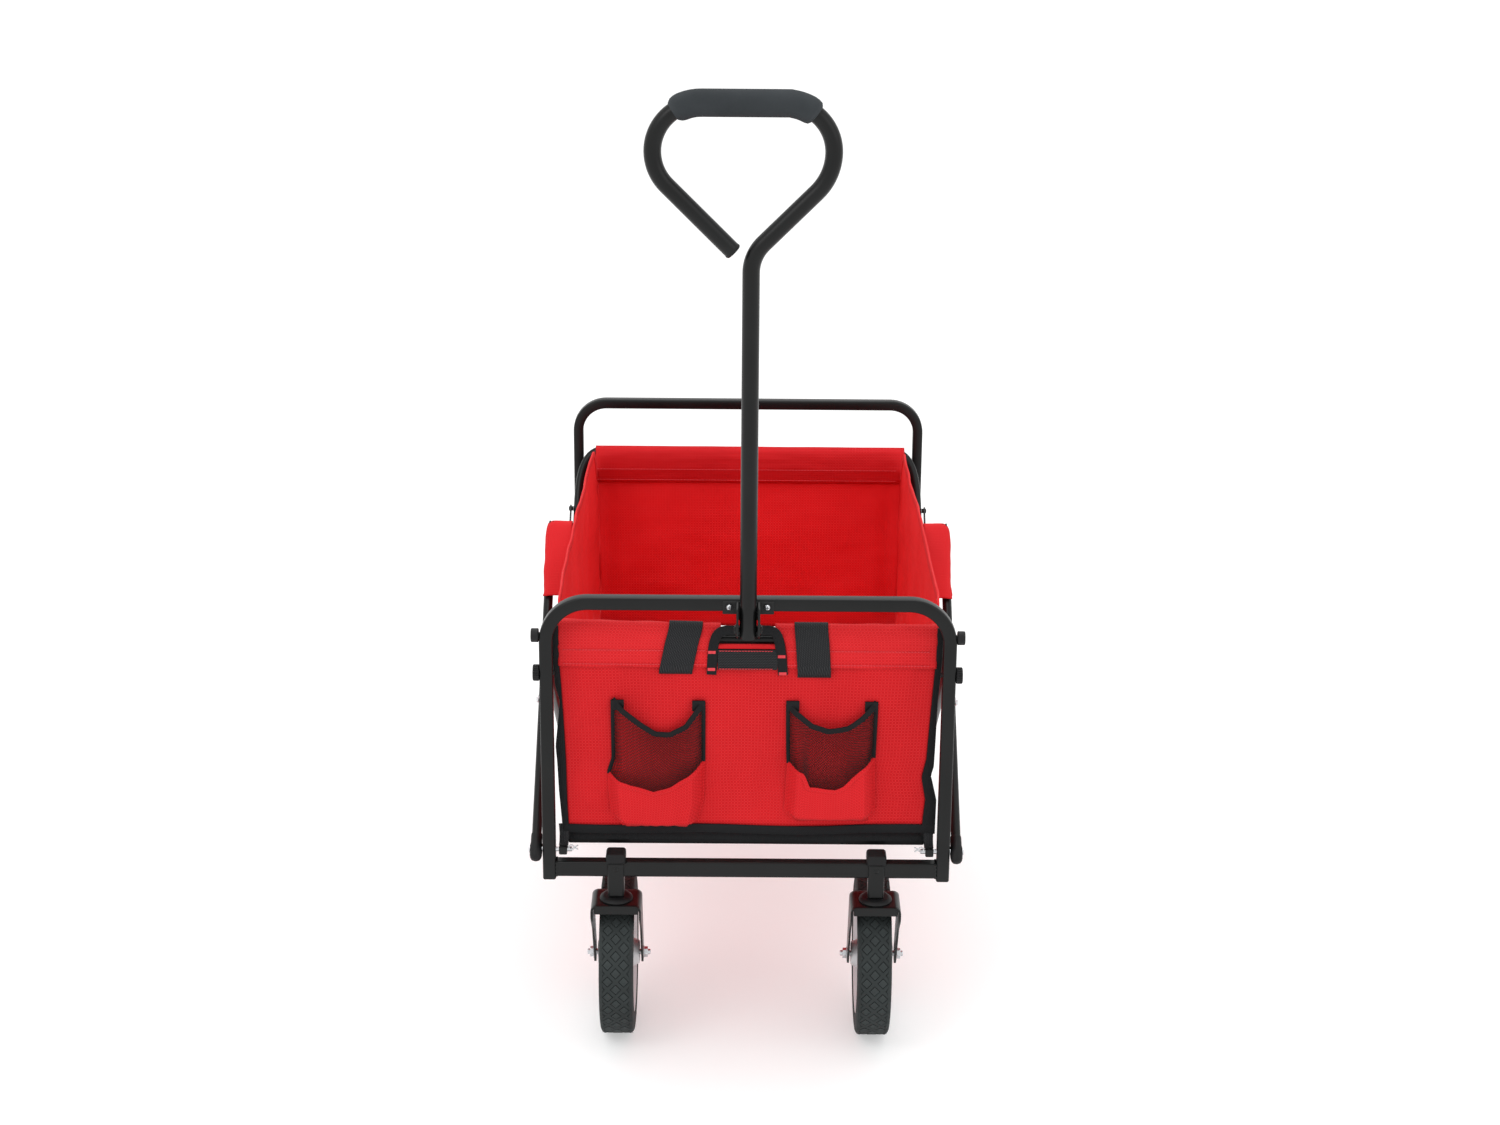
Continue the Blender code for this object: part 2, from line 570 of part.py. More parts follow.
def rim_hoop(name, body, rear):
    """Two arms from the wagon's middle, low down, up to a crossbar in the cloth's sleeve."""
    foot = Vector((0, HALF, FOOT_Z))
    up = Vector((0, -COS, SIN))
    bar_z = RIM_Z if rear else FRONT_RIM_Z
    bend_y = RIM_INSET + 0.045
    bend_s = (HALF - bend_y) / COS
    stations = [-0.0070, TONGUE, TONGUE + TAPER, bend_s]
    shift = Vector((-0.0018 - GAP, 0, 0)) * (-1 if rear else 1)
    arm = []
    for index, s in enumerate(stations):
        point = Vector((-RIM_ARM_X, 0, 0)) + foot + up * s
        arm.append(point + shift if index < 2 else point)
    corner_end = Vector((-RIM_ARM_X + 0.036, RIM_INSET, bar_z))
    corner = bezier(arm[-1], arm[-1] + up * 0.040, corner_end - Vector((0.036, 0, 0)), corner_end, 6)
    half_path = arm + corner
    other = [Vector((-p.x, p.y, p.z)) for p in reversed(half_path)]
    path = half_path + other
    if rear:
        path = mirrored(path)
    last = len(path) - 1
    round_section = circle(BRACE_TUBE / 2)
    flat = [(u * TONGUE_HALF, v * TONGUE_WIDTH / 2) for u, v in circle(1.0)]
    bore = circle(BRACE_TUBE / 2 - 0.0010, 8)
    obj = swept(name, path, lambda i: flat if i < 2 or i > last - 2 else round_section, body,
                "black_paint", normal=(1, 0, 0), bore=lambda i: bore, bore_from=2, bore_to=last - 2)
    cross_y = HOOP_DISTANCE - CROSS_Y if rear else CROSS_Y
    for label, side in SIDES:
        low, high = sorted((side * 0.2300, side * 0.2500))
        drill(obj, cross_y, CROSS_Z, 0.0033, low, high, body)
        if rear:
            drill(obj, HALF, FOOT_Z, 0.0036, low, high, body)
        else:
            stud = turned("foot_stud_" + label, [(0.2340, 0.0030), (0.2445, 0.0030)], (0, HALF, FOOT_Z),
                          body, None, axis=(side, 0, 0), count=10)
            weld(obj, stud)
        bolt = [(0.2310, 0.0044), (0.2316, 0.0052), (0.2346, 0.0052), (0.2346, 0.0030), (0.2474, 0.0030),
                (0.2474, 0.0060), (0.2508, 0.0060), (0.2508, 0.0030), (0.2636, 0.0030), (0.2636, 0.0052),
                (0.2656, 0.0052), (0.2664, 0.0040)]
        end = "rear_" if rear else "front_"
        turned("cross_bolt_" + end + label, bolt, (0, cross_y, CROSS_Z), body, "zinc", axis=(side, 0, 0),
               count=10)
    return obj


def top_pins():
    for label, side in SIDES:
        pin = [(0.2506, 0.0040), (0.2512, 0.0048), (0.2528, 0.0048), (0.2528, 0.0030), (0.2616, 0.0030),
               (0.2616, 0.0048), (0.2630, 0.0048), (0.2636, 0.0040)]
        turned("top_pin_" + label, pin, (0, HALF, RIM_Z), "front_brace", "zinc", axis=(side, 0, 0), count=10)


def guide_straps():
    """Flat straps on two rivets, outside the rear rim hoop's arms near the top."""
    thick = 0.0020
    stand = 0.0028
    face = RIM_ARM_X + BRACE_TUBE / 2 + GAP + stand
    along = Vector((0, COS, SIN))
    across = Vector((0, -SIN, COS)) * 0.0055
    base = Vector((0, HOOP_DISTANCE - CROSS_Y, CROSS_Z))
    first, second = base + along * 0.052, base + along * 0.134
    for label, side in SIDES:
        outline = []
        for center, start in ((second, -90), (first, 90)):
            for step in range(5):
                angle = math.radians(start + 180 * step / 4)
                point = center + along * (0.0055 * math.cos(angle)) + across * math.sin(angle)
                outline.append((point.y, point.z))
        low, high = sorted((side * face, side * (face + thick)))
        obj = plate("guide_strap_" + label, outline, "x", low, high, "rear_rim", "black_paint")
        for end, center in (("low", first), ("high", second)):
            profile = [(face - stand, 0.0034), (face + thick + 0.0012, 0.0034), (face + thick + 0.0018, 0.0022)]
            rivet = turned("strap_rivet_" + end + "_" + label, profile, (0, center.y, center.z), "rear_rim",
                           None, axis=(side, 0, 0), count=10)
            weld(obj, rivet)


# ---------------------------------------------------------------- rear frame
def rear_frame():
    body = "rear_frame"
    y = HOOP_DISTANCE
    hoop("rear_hoop", y, REAR_TOP, REAR_TUBE, REAR_BEND, body)
    bar = crossbar("rear_crossbar", y, REAR_TUBE, REAR_TUBE, body)
    outline = [(y - 0.0220, 0.2500), (y + 0.0220, 0.2500), (y + 0.0130, 0.1100)]
    outline += [(p.y, p.z) for p in arc((y, WHEEL_RADIUS), 0.0150, 0, -180, 6, "yz")]
    outline += [(y - 0.0130, 0.1100)]
    for label, side in SIDES:
        low, high = sorted((side * 0.1700, side * 0.1740))
        weld(bar, plate("wheel_bracket_" + label, outline, "x", low, high, body, None))
    drill(bar, y, WHEEL_RADIUS, 0.0055, -0.19, 0.19, body)
    half = [(0.2384, 0.0050), (0.2384, 0.0090), (0.2440, 0.0090), (0.2448, 0.0080)]
    profile = [(-along, radius) for along, radius in reversed(half)] + half
    turned("rear_axle", profile, (0, y, WHEEL_RADIUS), body, "zinc", count=16)
    for label, side in SIDES:
        pin = [(0.2298, 0.0040), (0.2304, 0.0050), (0.2344, 0.0050), (0.2344, 0.0030), (0.2636, 0.0030),
               (0.2636, 0.0050), (0.2655, 0.0050), (0.2662, 0.0040)]
        turned("rear_pivot_pin_" + label, pin, (0, y, PIVOT_Z), body, "zinc", axis=(side, 0, 0), count=10)
        x = side * REAR_WHEEL_X
        tyre("rear_tyre_" + label, x, y, "rear_wheel_" + label)
        hub("rear_hub_" + label, x, y, "rear_wheel_" + label, 0.0056)


# ---------------------------------------------------------------- floor
HINGE_CLEAR = 0.0150            # side tubes stop this far from the middle hinge


def floor_half(name, body, rear):
    """A frame of square tubes, hinged to a leg at one end and to the other half in the middle."""
    half = FLOOR_TUBE / 2
    low, high = PIVOT_Z - half, PIVOT_Z + half

    def span(y0, y1):
        if rear:
            y0, y1 = HOOP_DISTANCE - y1, HOOP_DISTANCE - y0
        return y0, y1

    near = 0.0045 if rear else -0.0070
    y0, y1 = span(near, HALF - HINGE_CLEAR)
    x = FLOOR_TUBE_X
    obj = block(name, (-x - half, y0, low), (-x + half, y1, high), body, "black_paint")
    tools = [block(name + "_tube", (x - half, y0, low), (x + half, y1, high), body, None)]
    for end, center in (("end", 0.0320), ("hinge", HALF - HINGE_CLEAR - 0.0060)):
        c0, c1 = span(center - half, center + half)
        tools.append(block(name + "_cross_" + end, (-x, c0, low), (x, c1, high), body, None))
    lug_x = (0.2288, 0.2318) if rear else (0.2158, 0.2192)
    l0, l1 = span(HALF - HINGE_CLEAR - 0.0200, HALF + 0.0045)
    for label, side in SIDES:
        x0, x1 = sorted((side * lug_x[0], side * lug_x[1]))
        tools.append(block(name + "_lug_" + label, (x0, l0, low + 0.0006), (x1, l1, high - 0.0006), body, None))
        if not rear:
            tools.append(turned(name + "_stud_" + label, [(0.2165, 0.0025), (0.2322, 0.0025)],
                                (0, HALF, PIVOT_Z), body, None, axis=(side, 0, 0), count=10))
    weld(obj, *tools)
    for label, side in SIDES:
        x0, x1 = sorted((side * 0.2240, side * 0.2360))
        if rear:
            drill(obj, HALF, PIVOT_Z, 0.0029, x0, x1, body)
        else:
            x0, x1 = sorted((side * 0.2140, side * 0.2360))
            drill(obj, 0, PIVOT_Z, 0.0034, x0, x1, body)

    m0, m1 = span(0.0270, HALF - 0.0125)
    level = high + GAP
    mat = block(name.replace("frame", "mat"), (-MAT_HALF_WIDTH, m0, level),
                (MAT_HALF_WIDTH, m1, level + MAT_THICKNESS), body, "red_lining")
    return obj, mat


# ---------------------------------------------------------------- cloth, as plain solids
END_PANEL_X = CLOTH_X + 0.002
CORNER_X = 0.0270               # the end panels' top corners are cut back, clear of the rim tubes' bends
CORNER_DROP = 0.0675            # where a cut starts and ends, below the rim crossbar
CORNER_RISE = 0.0275


def end_panel_edge(side, bar_z):
    """One upright edge of an end panel, from its top to its foot."""
    inner = END_PANEL_X - CORNER_X
    edge = [(inner, CLOTH_TOP), (inner, bar_z - CORNER_RISE), (END_PANEL_X, bar_z - CORNER_DROP),
            (END_PANEL_X, CLOTH_BOTTOM)]
    return [(side * x, z) for x, z in edge]


NOTCH_HALF_LOW = 0.0490
NOTCH_HALF_HIGH = 0.0370
NOTCH_LOW = 0.5035


def front_cloth():
    left = end_panel_edge(-1, FRONT_RIM_Z)
    right = list(reversed(end_panel_edge(1, FRONT_RIM_Z)))
    outline = left + right + [(NOTCH_HALF_HIGH, CLOTH_TOP), (NOTCH_HALF_LOW, NOTCH_LOW),
                              (-NOTCH_HALF_LOW, NOTCH_LOW), (-NOTCH_HALF_HIGH, CLOTH_TOP)]
    plate("fabric_front", outline, "y", CLOTH_FRONT_Y, CLOTH_FRONT_Y + CLOTH, "front_cloth", "red_cloth")
    for label, side in SIDES:
        pocket(label, side)


POCKET_X = 0.1078
POCKET_HALF = 0.0520
POCKET_LOW = 0.3070
POCKET_HIGH = 0.4330            # so that it passes under the hoop's top bar when folded
POCKET_DEPTH = 0.0220


def pocket(label, side):
    """An open-topped pouch on the front panel: front wall, two ends and a floor."""
    back = CLOTH_FRONT_Y - GAP
    front = back - POCKET_DEPTH
    x = side * POCKET_X
    outer = [(x - POCKET_HALF, back), (x - POCKET_HALF + 0.006, front), (x + POCKET_HALF - 0.006, front),
             (x + POCKET_HALF, back)]
    wall = 0.0020
    inner = [(x - POCKET_HALF + 0.0030, back + 0.01), (x - POCKET_HALF + 0.0080, front + wall),
             (x + POCKET_HALF - 0.0080, front + wall), (x + POCKET_HALF - 0.0030, back + 0.01)]
    obj = plate("pocket_" + label, outer, "z", POCKET_LOW, POCKET_HIGH, "front_cloth", "red_cloth")
    tool = plate("pocket_room_" + label, inner, "z", POCKET_LOW + 0.003, POCKET_HIGH + 0.01, "front_cloth",
                 None)
    boolean(obj, tool, "DIFFERENCE")


def rear_cloth():
    y = HOOP_DISTANCE - CLOTH_FRONT_Y
    outline = end_panel_edge(-1, RIM_Z) + list(reversed(end_panel_edge(1, RIM_Z)))
    plate("fabric_rear", outline, "y", y - CLOTH, y, "rear_cloth", "red_cloth")


def side_cloth():
    y0 = CLOTH_FRONT_Y + CLOTH + 0.0005
    y1 = HOOP_DISTANCE - y0
    for label, side in SIDES:
        x0, x1 = sorted((side * (CLOTH_X - CLOTH), side * CLOTH_X))
        bend_y = 0.0450                     # the rim tubes' bends pass through the two upper corners
        far_y = HOOP_DISTANCE - bend_y
        front_z = FRONT_RIM_Z - CORNER_RISE
        rear_z = RIM_Z - CORNER_RISE
        outline = [(y0, CLOTH_BOTTOM), (y1, CLOTH_BOTTOM), (y1, rear_z), (far_y, rear_z), (far_y, SIDE_TOP),
                   (bend_y, SIDE_TOP), (bend_y, front_z), (y0, front_z)]
        plate("fabric_side_" + label, outline, "x", x0, x1, "side_cloth", "red_lining")
        side_cover(label, side)


def side_cover(label, side):
    """A hood over the joint where two braces meet at the middle of the rim, open below."""
    inner_x, outer_x = 0.2290, 0.2680
    wall = 0.0015
    low = 0.4980

    def tent(clear):
        """Outline that follows the braces at a given distance above their axes."""
        lift = clear / COS
        crown = 0.0060
        top = RIM_Z + lift - crown * math.tan(BRACE_ANGLE)
        foot = (RIM_Z + lift - low) / math.tan(BRACE_ANGLE)
        return [(HALF - foot, low), (HALF + foot, low), (HALF + crown, top), (HALF - crown, top)]

    shell = plate("side_cover_" + label, tent(0.0145), "x", *sorted((side * inner_x, side * outer_x)),
                  "side_cloth", "red_cloth")
    room = [(y, z - 0.02 if z == low else z) for y, z in tent(0.0130)]
    drop = 0.02 / math.tan(BRACE_ANGLE)
    room[0] = (room[0][0] - drop, room[0][1])
    room[1] = (room[1][0] + drop, room[1][1])
    tool = plate("cover_room_" + label, room, "x",
                 *sorted((side * (inner_x + wall), side * (outer_x - wall))), "side_cloth", None)
    boolean(shell, tool, "DIFFERENCE")


def build():
    front_frame()
    handle_bracket()
    side_fasteners()
    handle()
    for label, side in SIDES:
        castor(label, side)
        brace(label, side, "front_brace", rear=False)
        brace(label, side, "rear_brace", rear=True)
        brace_cap(label, side)
    rim_hoop("front_rim_hoop", "front_rim", rear=False)
    rim_hoop("rear_rim_hoop", "rear_rim", rear=True)
    top_pins()
    guide_straps()
    rear_frame()
    floor_half("floor_frame_front", "floor_front", rear=False)
    floor_half("floor_frame_rear", "floor_rear", rear=True)
    front_cloth()
    rear_cloth()
    side_cloth()


clear_scene()
EMPTIES = make_empties()
build()
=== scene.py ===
"""Folding camp wagon: the visible model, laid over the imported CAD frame.

Positions are written from the front hoop's centre plane (y) and the ground (z), in metres, and
moved into the shared frame by at().  Every piece rides one of the CAD bodies.
"""

import json
import math

import bmesh
import bpy
from mathutils import Matrix, Vector, noise


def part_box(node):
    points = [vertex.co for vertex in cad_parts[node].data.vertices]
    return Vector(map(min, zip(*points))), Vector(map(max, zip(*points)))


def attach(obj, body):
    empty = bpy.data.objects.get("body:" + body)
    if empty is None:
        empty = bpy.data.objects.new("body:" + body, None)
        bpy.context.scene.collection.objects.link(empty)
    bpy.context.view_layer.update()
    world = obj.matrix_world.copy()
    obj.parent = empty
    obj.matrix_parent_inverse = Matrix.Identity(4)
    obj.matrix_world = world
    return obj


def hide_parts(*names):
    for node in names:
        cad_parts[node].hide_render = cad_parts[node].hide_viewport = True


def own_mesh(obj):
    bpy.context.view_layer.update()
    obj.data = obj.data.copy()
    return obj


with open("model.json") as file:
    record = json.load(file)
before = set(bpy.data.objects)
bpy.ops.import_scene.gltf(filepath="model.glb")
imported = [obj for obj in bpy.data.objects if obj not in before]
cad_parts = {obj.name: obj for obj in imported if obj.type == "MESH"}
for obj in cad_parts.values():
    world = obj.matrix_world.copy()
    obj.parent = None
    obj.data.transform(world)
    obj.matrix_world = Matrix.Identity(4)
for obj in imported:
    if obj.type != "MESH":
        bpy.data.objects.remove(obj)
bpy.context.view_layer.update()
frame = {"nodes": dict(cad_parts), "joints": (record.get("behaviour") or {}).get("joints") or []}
NODES = frame["nodes"]

# ---------------------------------------------------------------- dimensions read from the frame
HOOP_LOW, HOOP_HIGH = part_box("front_hoop")
REAR_LOW, REAR_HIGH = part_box("rear_hoop")
FRONT_Y = (HOOP_LOW[1] + HOOP_HIGH[1]) / 2
LENGTH = (REAR_LOW[1] + REAR_HIGH[1]) / 2 - FRONT_Y
JOINT_AT = {joint["name"]: Vector(joint["pos_m"]) for joint in frame["joints"]}
MIDDLE = LENGTH / 2
PIVOT_Z = JOINT_AT["fold"].z
RIM_Z = JOINT_AT["side_cloth_turn"].z
FRONT_RIM_Z = JOINT_AT["front_cloth_turn"].z
RIM_INSET = JOINT_AT["front_cloth_turn"].y - FRONT_Y
CROSS_Y = JOINT_AT["front_rim_turn"].y - FRONT_Y
CROSS_Z = JOINT_AT["front_rim_turn"].z
BRACE_LENGTH = math.hypot(MIDDLE, RIM_Z - PIVOT_Z)
BRACE_ANGLE = math.atan2(RIM_Z - PIVOT_Z, MIDDLE)
COS, SIN = math.cos(BRACE_ANGLE), math.sin(BRACE_ANGLE)
FOOT_Z = CROSS_Z - (BRACE_LENGTH - math.hypot(CROSS_Y, CROSS_Z - PIVOT_Z)) * SIN
SIDES = (("left", -1), ("right", 1))


def at(x, y, z):
    return Vector((x, y + FRONT_Y, z))


SCREW_X, SCREW_Z = 0.0226, 0.5935             # the bracket's two screws
KNOB_Z = 0.5045                               # the ribbed knobs
LOCK_Z = 0.5525                               # the plain lock knobs above them
PIN_RING_Y, PIN_RING_Z = -0.0100, 0.2790      # the rings of the split pins
WAVE_TURN = 2 * math.pi / 20                  # over a spacing in metres, a wave texture's scale


# ---------------------------------------------------------------- materials
class Shader:
    """A Principled material with small helpers for its node tree."""

    def __init__(self, name, color, roughness, metallic=0.0):
        self.material = bpy.data.materials.new(name)
        self.material.use_nodes = True
        self.tree = self.material.node_tree
        self.main = self.tree.nodes["Principled BSDF"]
        self.main.inputs["Base Color"].default_value = (*color, 1.0)
        self.main.inputs["Roughness"].default_value = roughness
        self.main.inputs["Metallic"].default_value = metallic
        self.material.diffuse_color = (*color, 1.0)

    def node(self, kind, **values):
        item = self.tree.nodes.new(kind)
        for key, value in values.items():
            setattr(item, key, value)
        return item

    def link(self, source, target):
        self.tree.links.new(source, target)

    def coordinates(self, output):
        return self.node("ShaderNodeTexCoord").outputs[output]

    def noise(self, vector, scale, detail=2.0):
        item = self.node("ShaderNodeTexNoise")
        item.inputs["Scale"].default_value = scale
        item.inputs["Detail"].default_value = detail
        self.link(vector, item.inputs["Vector"])
        return item.outputs["Fac"]

    def wave(self, vector, scale, direction, profile="SIN"):
        item = self.node("ShaderNodeTexWave", bands_direction=direction, wave_profile=profile)
        item.inputs["Scale"].default_value = scale
        self.link(vector, item.inputs["Vector"])
        return item.outputs["Fac"]

    def ramp(self, factor, low, high, first, second):
        item = self.node("ShaderNodeValToRGB")
        item.color_ramp.elements[0].position = low
        item.color_ramp.elements[1].position = high
        item.color_ramp.elements[0].color = (*first, 1.0)
        item.color_ramp.elements[1].color = (*second, 1.0)
        self.link(factor, item.inputs["Fac"])
        return item.outputs["Color"]

    def remap(self, factor, low, high):
        item = self.node("ShaderNodeMapRange")
        item.inputs["To Min"].default_value = low
        item.inputs["To Max"].default_value = high
        self.link(factor, item.inputs["Value"])
        return item.outputs["Result"]

    def math(self, operation, first, second):
        item = self.node("ShaderNodeMath", operation=operation)
        for index, value in enumerate((first, second)):
            if isinstance(value, (int, float)):
                item.inputs[index].default_value = value
            else:
                self.link(value, item.inputs[index])
        return item.outputs["Value"]

    def mix(self, factor, first, second):
        item = self.node("ShaderNodeMix", data_type="RGBA")
        self.link(factor, item.inputs["Factor"])
        for socket, value in ((item.inputs[6], first), (item.inputs[7], second)):
            if isinstance(value, tuple):
                socket.default_value = (*value, 1.0)
            else:
                self.link(value, socket)
        return item.outputs[2]

    def bump(self, height, strength, distance):
        item = self.node("ShaderNodeBump")
        item.inputs["Strength"].default_value = strength
        item.inputs["Distance"].default_value = distance
        self.link(height, item.inputs["Height"])
        self.link(item.outputs["Normal"], self.main.inputs["Normal"])

    def set(self, name, value):
        self.link(value, self.main.inputs[name])


def coated(name, dark, light, rough_low, rough_high, grain, depth, metallic=0.0, gloss=0.5):
    """A hard surface: two close tones, uneven gloss, fine grain and lighter worn edges."""
    shader = Shader(name, dark, rough_low, metallic)
    shader.main.inputs["Specular IOR Level"].default_value = gloss
    place = shader.coordinates("Object")
    cloudy = shader.noise(place, 18.0, 4.0)
    tone = shader.ramp(cloudy, 0.35, 0.7, dark, light)
    edge = shader.node("ShaderNodeNewGeometry").outputs["Pointiness"]
    worn = shader.node("ShaderNodeMapRange")
    worn.inputs["From Min"].default_value = 0.53
    worn.inputs["From Max"].default_value = 0.62
    worn.inputs["To Max"].default_value = 0.35
    shader.link(edge, worn.inputs["Value"])
    rubbed = tuple(min(1.0, value * 2.6 + 0.01) for value in light)
    shader.set("Base Color", shader.mix(worn.outputs["Result"], tone, rubbed))
    shader.set("Roughness", shader.remap(cloudy, rough_low, rough_high))
    shader.bump(shader.noise(place, grain, 2.0), 0.35, depth)
    return shader.material


RIPSTOP = 0.0040                # spacing of the thicker ripstop threads
THREAD = 0.0009


def cloth_material(name, color, shade, sheen):
    """Ripstop weave: plain weave with a grid of thicker threads, on UVs in metres."""
    shader = Shader(name, color, 0.8)
    shader.main.inputs["Specular IOR Level"].default_value = 0.15
    uv = shader.coordinates("UV")
    along = shader.wave(uv, WAVE_TURN / THREAD, "X")
    across = shader.wave(uv, WAVE_TURN / THREAD, "Y")
    weave = shader.math("MULTIPLY", along, across)
    grid_x = shader.wave(uv, WAVE_TURN / RIPSTOP, "X")
    grid_y = shader.wave(uv, WAVE_TURN / RIPSTOP, "Y")
    ribs = shader.math("MAXIMUM", shader.math("POWER", grid_x, 14.0), shader.math("POWER", grid_y, 14.0))
    dots = shader.math("POWER", shader.math("MULTIPLY", grid_x, grid_y), 6.0)
    cloudy = shader.noise(shader.coordinates("Object"), 9.0, 3.0)
    tone = shader.ramp(cloudy, 0.3, 0.75, shade, color)
    lighter = tuple(min(1.0, value * 1.35 + 0.02) for value in color)
    ribbed = shader.mix(shader.remap(ribs, 0.0, 0.75), tone, lighter)
    deep = tuple(value * 0.55 for value in shade)
    shader.set("Base Color", shader.mix(shader.remap(dots, 0.0, 0.90), ribbed, deep))
    shader.set("Roughness", shader.remap(weave, 0.68, 0.9))
    height = shader.math("ADD", shader.math("MULTIPLY", ribs, 0.6), shader.math("MULTIPLY", weave, 0.4))
    shader.bump(height, 0.4, 0.0004)
    shader.main.inputs["Sheen Weight"].default_value = sheen
    shader.main.inputs["Sheen Roughness"].default_value = 0.4
    shader.main.inputs["Sheen Tint"].default_value = (1.0, 0.25, 0.22, 1.0)
    return shader.material


def webbing_material(name, color, light, pitch):
    """Twill webbing: diagonal ribs crossed by bars along X, on UVs in metres."""
    shader = Shader(name, color, 0.7)
    shader.main.inputs["Specular IOR Level"].default_value = 0.22
    uv = shader.coordinates("UV")
    ribs = shader.wave(uv, WAVE_TURN / pitch, "DIAGONAL")
    cross = shader.wave(uv, WAVE_TURN / (pitch * 1.3), "X")
    height = shader.math("ADD", shader.math("MULTIPLY", ribs, 0.5), shader.math("MULTIPLY", cross, 0.5))
    # Rib crests take the lighter colour: thread tone, and for the webbing also a painted highlight.
    shader.set("Base Color", shader.ramp(height, 0.3, 0.9, color, light))
    shader.set("Roughness", shader.remap(ribs, 0.6, 0.85))
    shader.bump(height, 0.8, 0.0006)
    return shader.material


MATERIALS = {
    "black_paint": coated("powder_coat", (0.0035, 0.0038, 0.0038), (0.0055, 0.0060, 0.0060), 0.26, 0.40,
                          900.0, 0.0002, gloss=0.24),
    "zinc": coated("zinc_plate", (0.50, 0.51, 0.53), (0.66, 0.67, 0.69), 0.22, 0.4, 700.0, 0.0001, 1.0),
    "black_plastic": coated("moulded_plastic", (0.0035, 0.0035, 0.0040), (0.006, 0.006, 0.0065), 0.42, 0.58,
                            1400.0, 0.0002, gloss=0.24),
    "foam": coated("grip_foam", (0.026, 0.030, 0.033), (0.038, 0.043, 0.047), 0.82, 0.95, 1600.0, 0.0006,
                   gloss=0.2),
    "tyre_rubber": coated("tyre_compound", (0.017, 0.021, 0.021), (0.027, 0.033, 0.033), 0.68, 0.85, 1100.0,
                          0.0003, gloss=0.25),
    "wheel_plastic": coated("hub_plastic", (0.52, 0.51, 0.52), (0.60, 0.59, 0.60), 0.4, 0.55, 900.0, 0.0002),
    "red_cloth": cloth_material("ripstop_red", (0.56, 0.009, 0.013), (0.47, 0.005, 0.008), 0.05),
    # The same red ripstop with a brighter colour for the rear panel, side panels and floor mats: painted
    # light that lifts the shade inside the tub.
    "red_lining": cloth_material("ripstop_inside_painted_light", (0.76, 0.015, 0.019), (0.65, 0.009, 0.012), 0.05),
}
MATERIALS["sleeve"] = cloth_material("ripstop_sleeve", (0.60, 0.014, 0.018), (0.51, 0.008, 0.011), 0.06)
# The webbing's lighter crest colour is partly thread tone and partly a painted highlight.
MATERIALS["webbing"] = webbing_material("black_webbing_painted_highlight", (0.004, 0.004, 0.005), (0.034, 0.036, 0.038), 0.0016)
MATERIALS["binding"] = webbing_material("black_binding", (0.004, 0.004, 0.005), (0.012, 0.013, 0.014), 0.0011)
MATERIALS["net"] = webbing_material("black_net", (0.008, 0.008, 0.008), (0.02, 0.021, 0.021), 0.0010)
MATERIALS["red_thread"] = coated("red_thread", (0.42, 0.01, 0.014), (0.6, 0.03, 0.04), 0.6, 0.8, 2500.0,
                                 0.0002)


# ---------------------------------------------------------------- building blocks
def finish(name, bm, body, material, nodes=(), smooth=35):
    """Turn a bmesh written in the shared frame into a piece that rides a body."""
    bmesh.ops.remove_doubles(bm, verts=bm.verts[:], dist=1e-6)
    bmesh.ops.recalc_face_normals(bm, faces=bm.faces[:])
    mesh = bpy.data.meshes.new(name)
    bm.to_mesh(mesh)
    bm.free()
    mesh.shade_smooth()
    mesh.set_sharp_from_angle(angle=math.radians(smooth))
    mesh.materials.append(MATERIALS[material])
    obj = bpy.data.objects.new(name, mesh)
    bpy.context.collection.objects.link(obj)
    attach(obj, body)
    if nodes:
        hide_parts(*nodes)
    return obj


def bevel(obj, width, segments=3, angle=40):
    modifier = obj.modifiers.new("edges", "BEVEL")
    modifier.width = width
    modifier.segments = segments
    modifier.limit_method = "ANGLE"
    modifier.angle_limit = math.radians(angle)
    return obj


def thicken(obj, thickness, offset=0.0):
    modifier = obj.modifiers.new("thickness", "SOLIDIFY")
    modifier.thickness = thickness
    modifier.offset = offset
    return obj


def circle(radius, count=32):
    turn = 2 * math.pi / count
    return [(radius * math.cos(i * turn), radius * math.sin(i * turn)) for i in range(count)]


def rounded_rectangle(half_n, half_b, radius, steps=4):
    points = []
    for quarter, (sign_n, sign_b) in enumerate(((1, 1), (-1, 1), (-1, -1), (1, -1))):
        for step in range(steps + 1):
            angle = (quarter + step / steps) * math.pi / 2
            points.append((sign_n * (half_n - radius) + radius * math.cos(angle),
                           sign_b * (half_b - radius) + radius * math.sin(angle)))
    return points


def arc(center, radius, start, end, steps, y):
    """Points in the plane at y, angles in degrees from +X towards +Z."""
    points = []
    for i in range(steps + 1):
        angle = math.radians(start + (end - start) * i / steps)
        points.append(at(center[0] + radius * math.cos(angle), y, center[1] + radius * math.sin(angle)))
    return points


def bezier(p0, p1, p2, p3, steps):
    points = []
    for i in range(1, steps + 1):
        t = i / steps
        s = 1 - t
        points.append(p0 * s ** 3 + p1 * 3 * s * s * t + p2 * 3 * s * t * t + p3 * t ** 3)
    return points


def lookup(table, value):
    """Linear reading of a table of (position, result), held constant beyond its ends."""
    points = sorted(table)
    if value <= points[0][0]:
        return points[0][1]
    for (a, first), (b, second) in zip(points, points[1:]):
        if value <= b:
            return first + (second - first) * (value - a) / (b - a)
    return points[-1][1]


def smoothstep(low, high, value):
    t = min(1.0, max(0.0, (value - low) / (high - low)))
    return t * t * (3 - 2 * t)


def ruffle(x, y, size, height, seed=0.0):
    """Smooth random height for wrinkles of a given size."""
    return height * noise.noise(Vector((x / size + seed, y / size, seed * 1.7)))


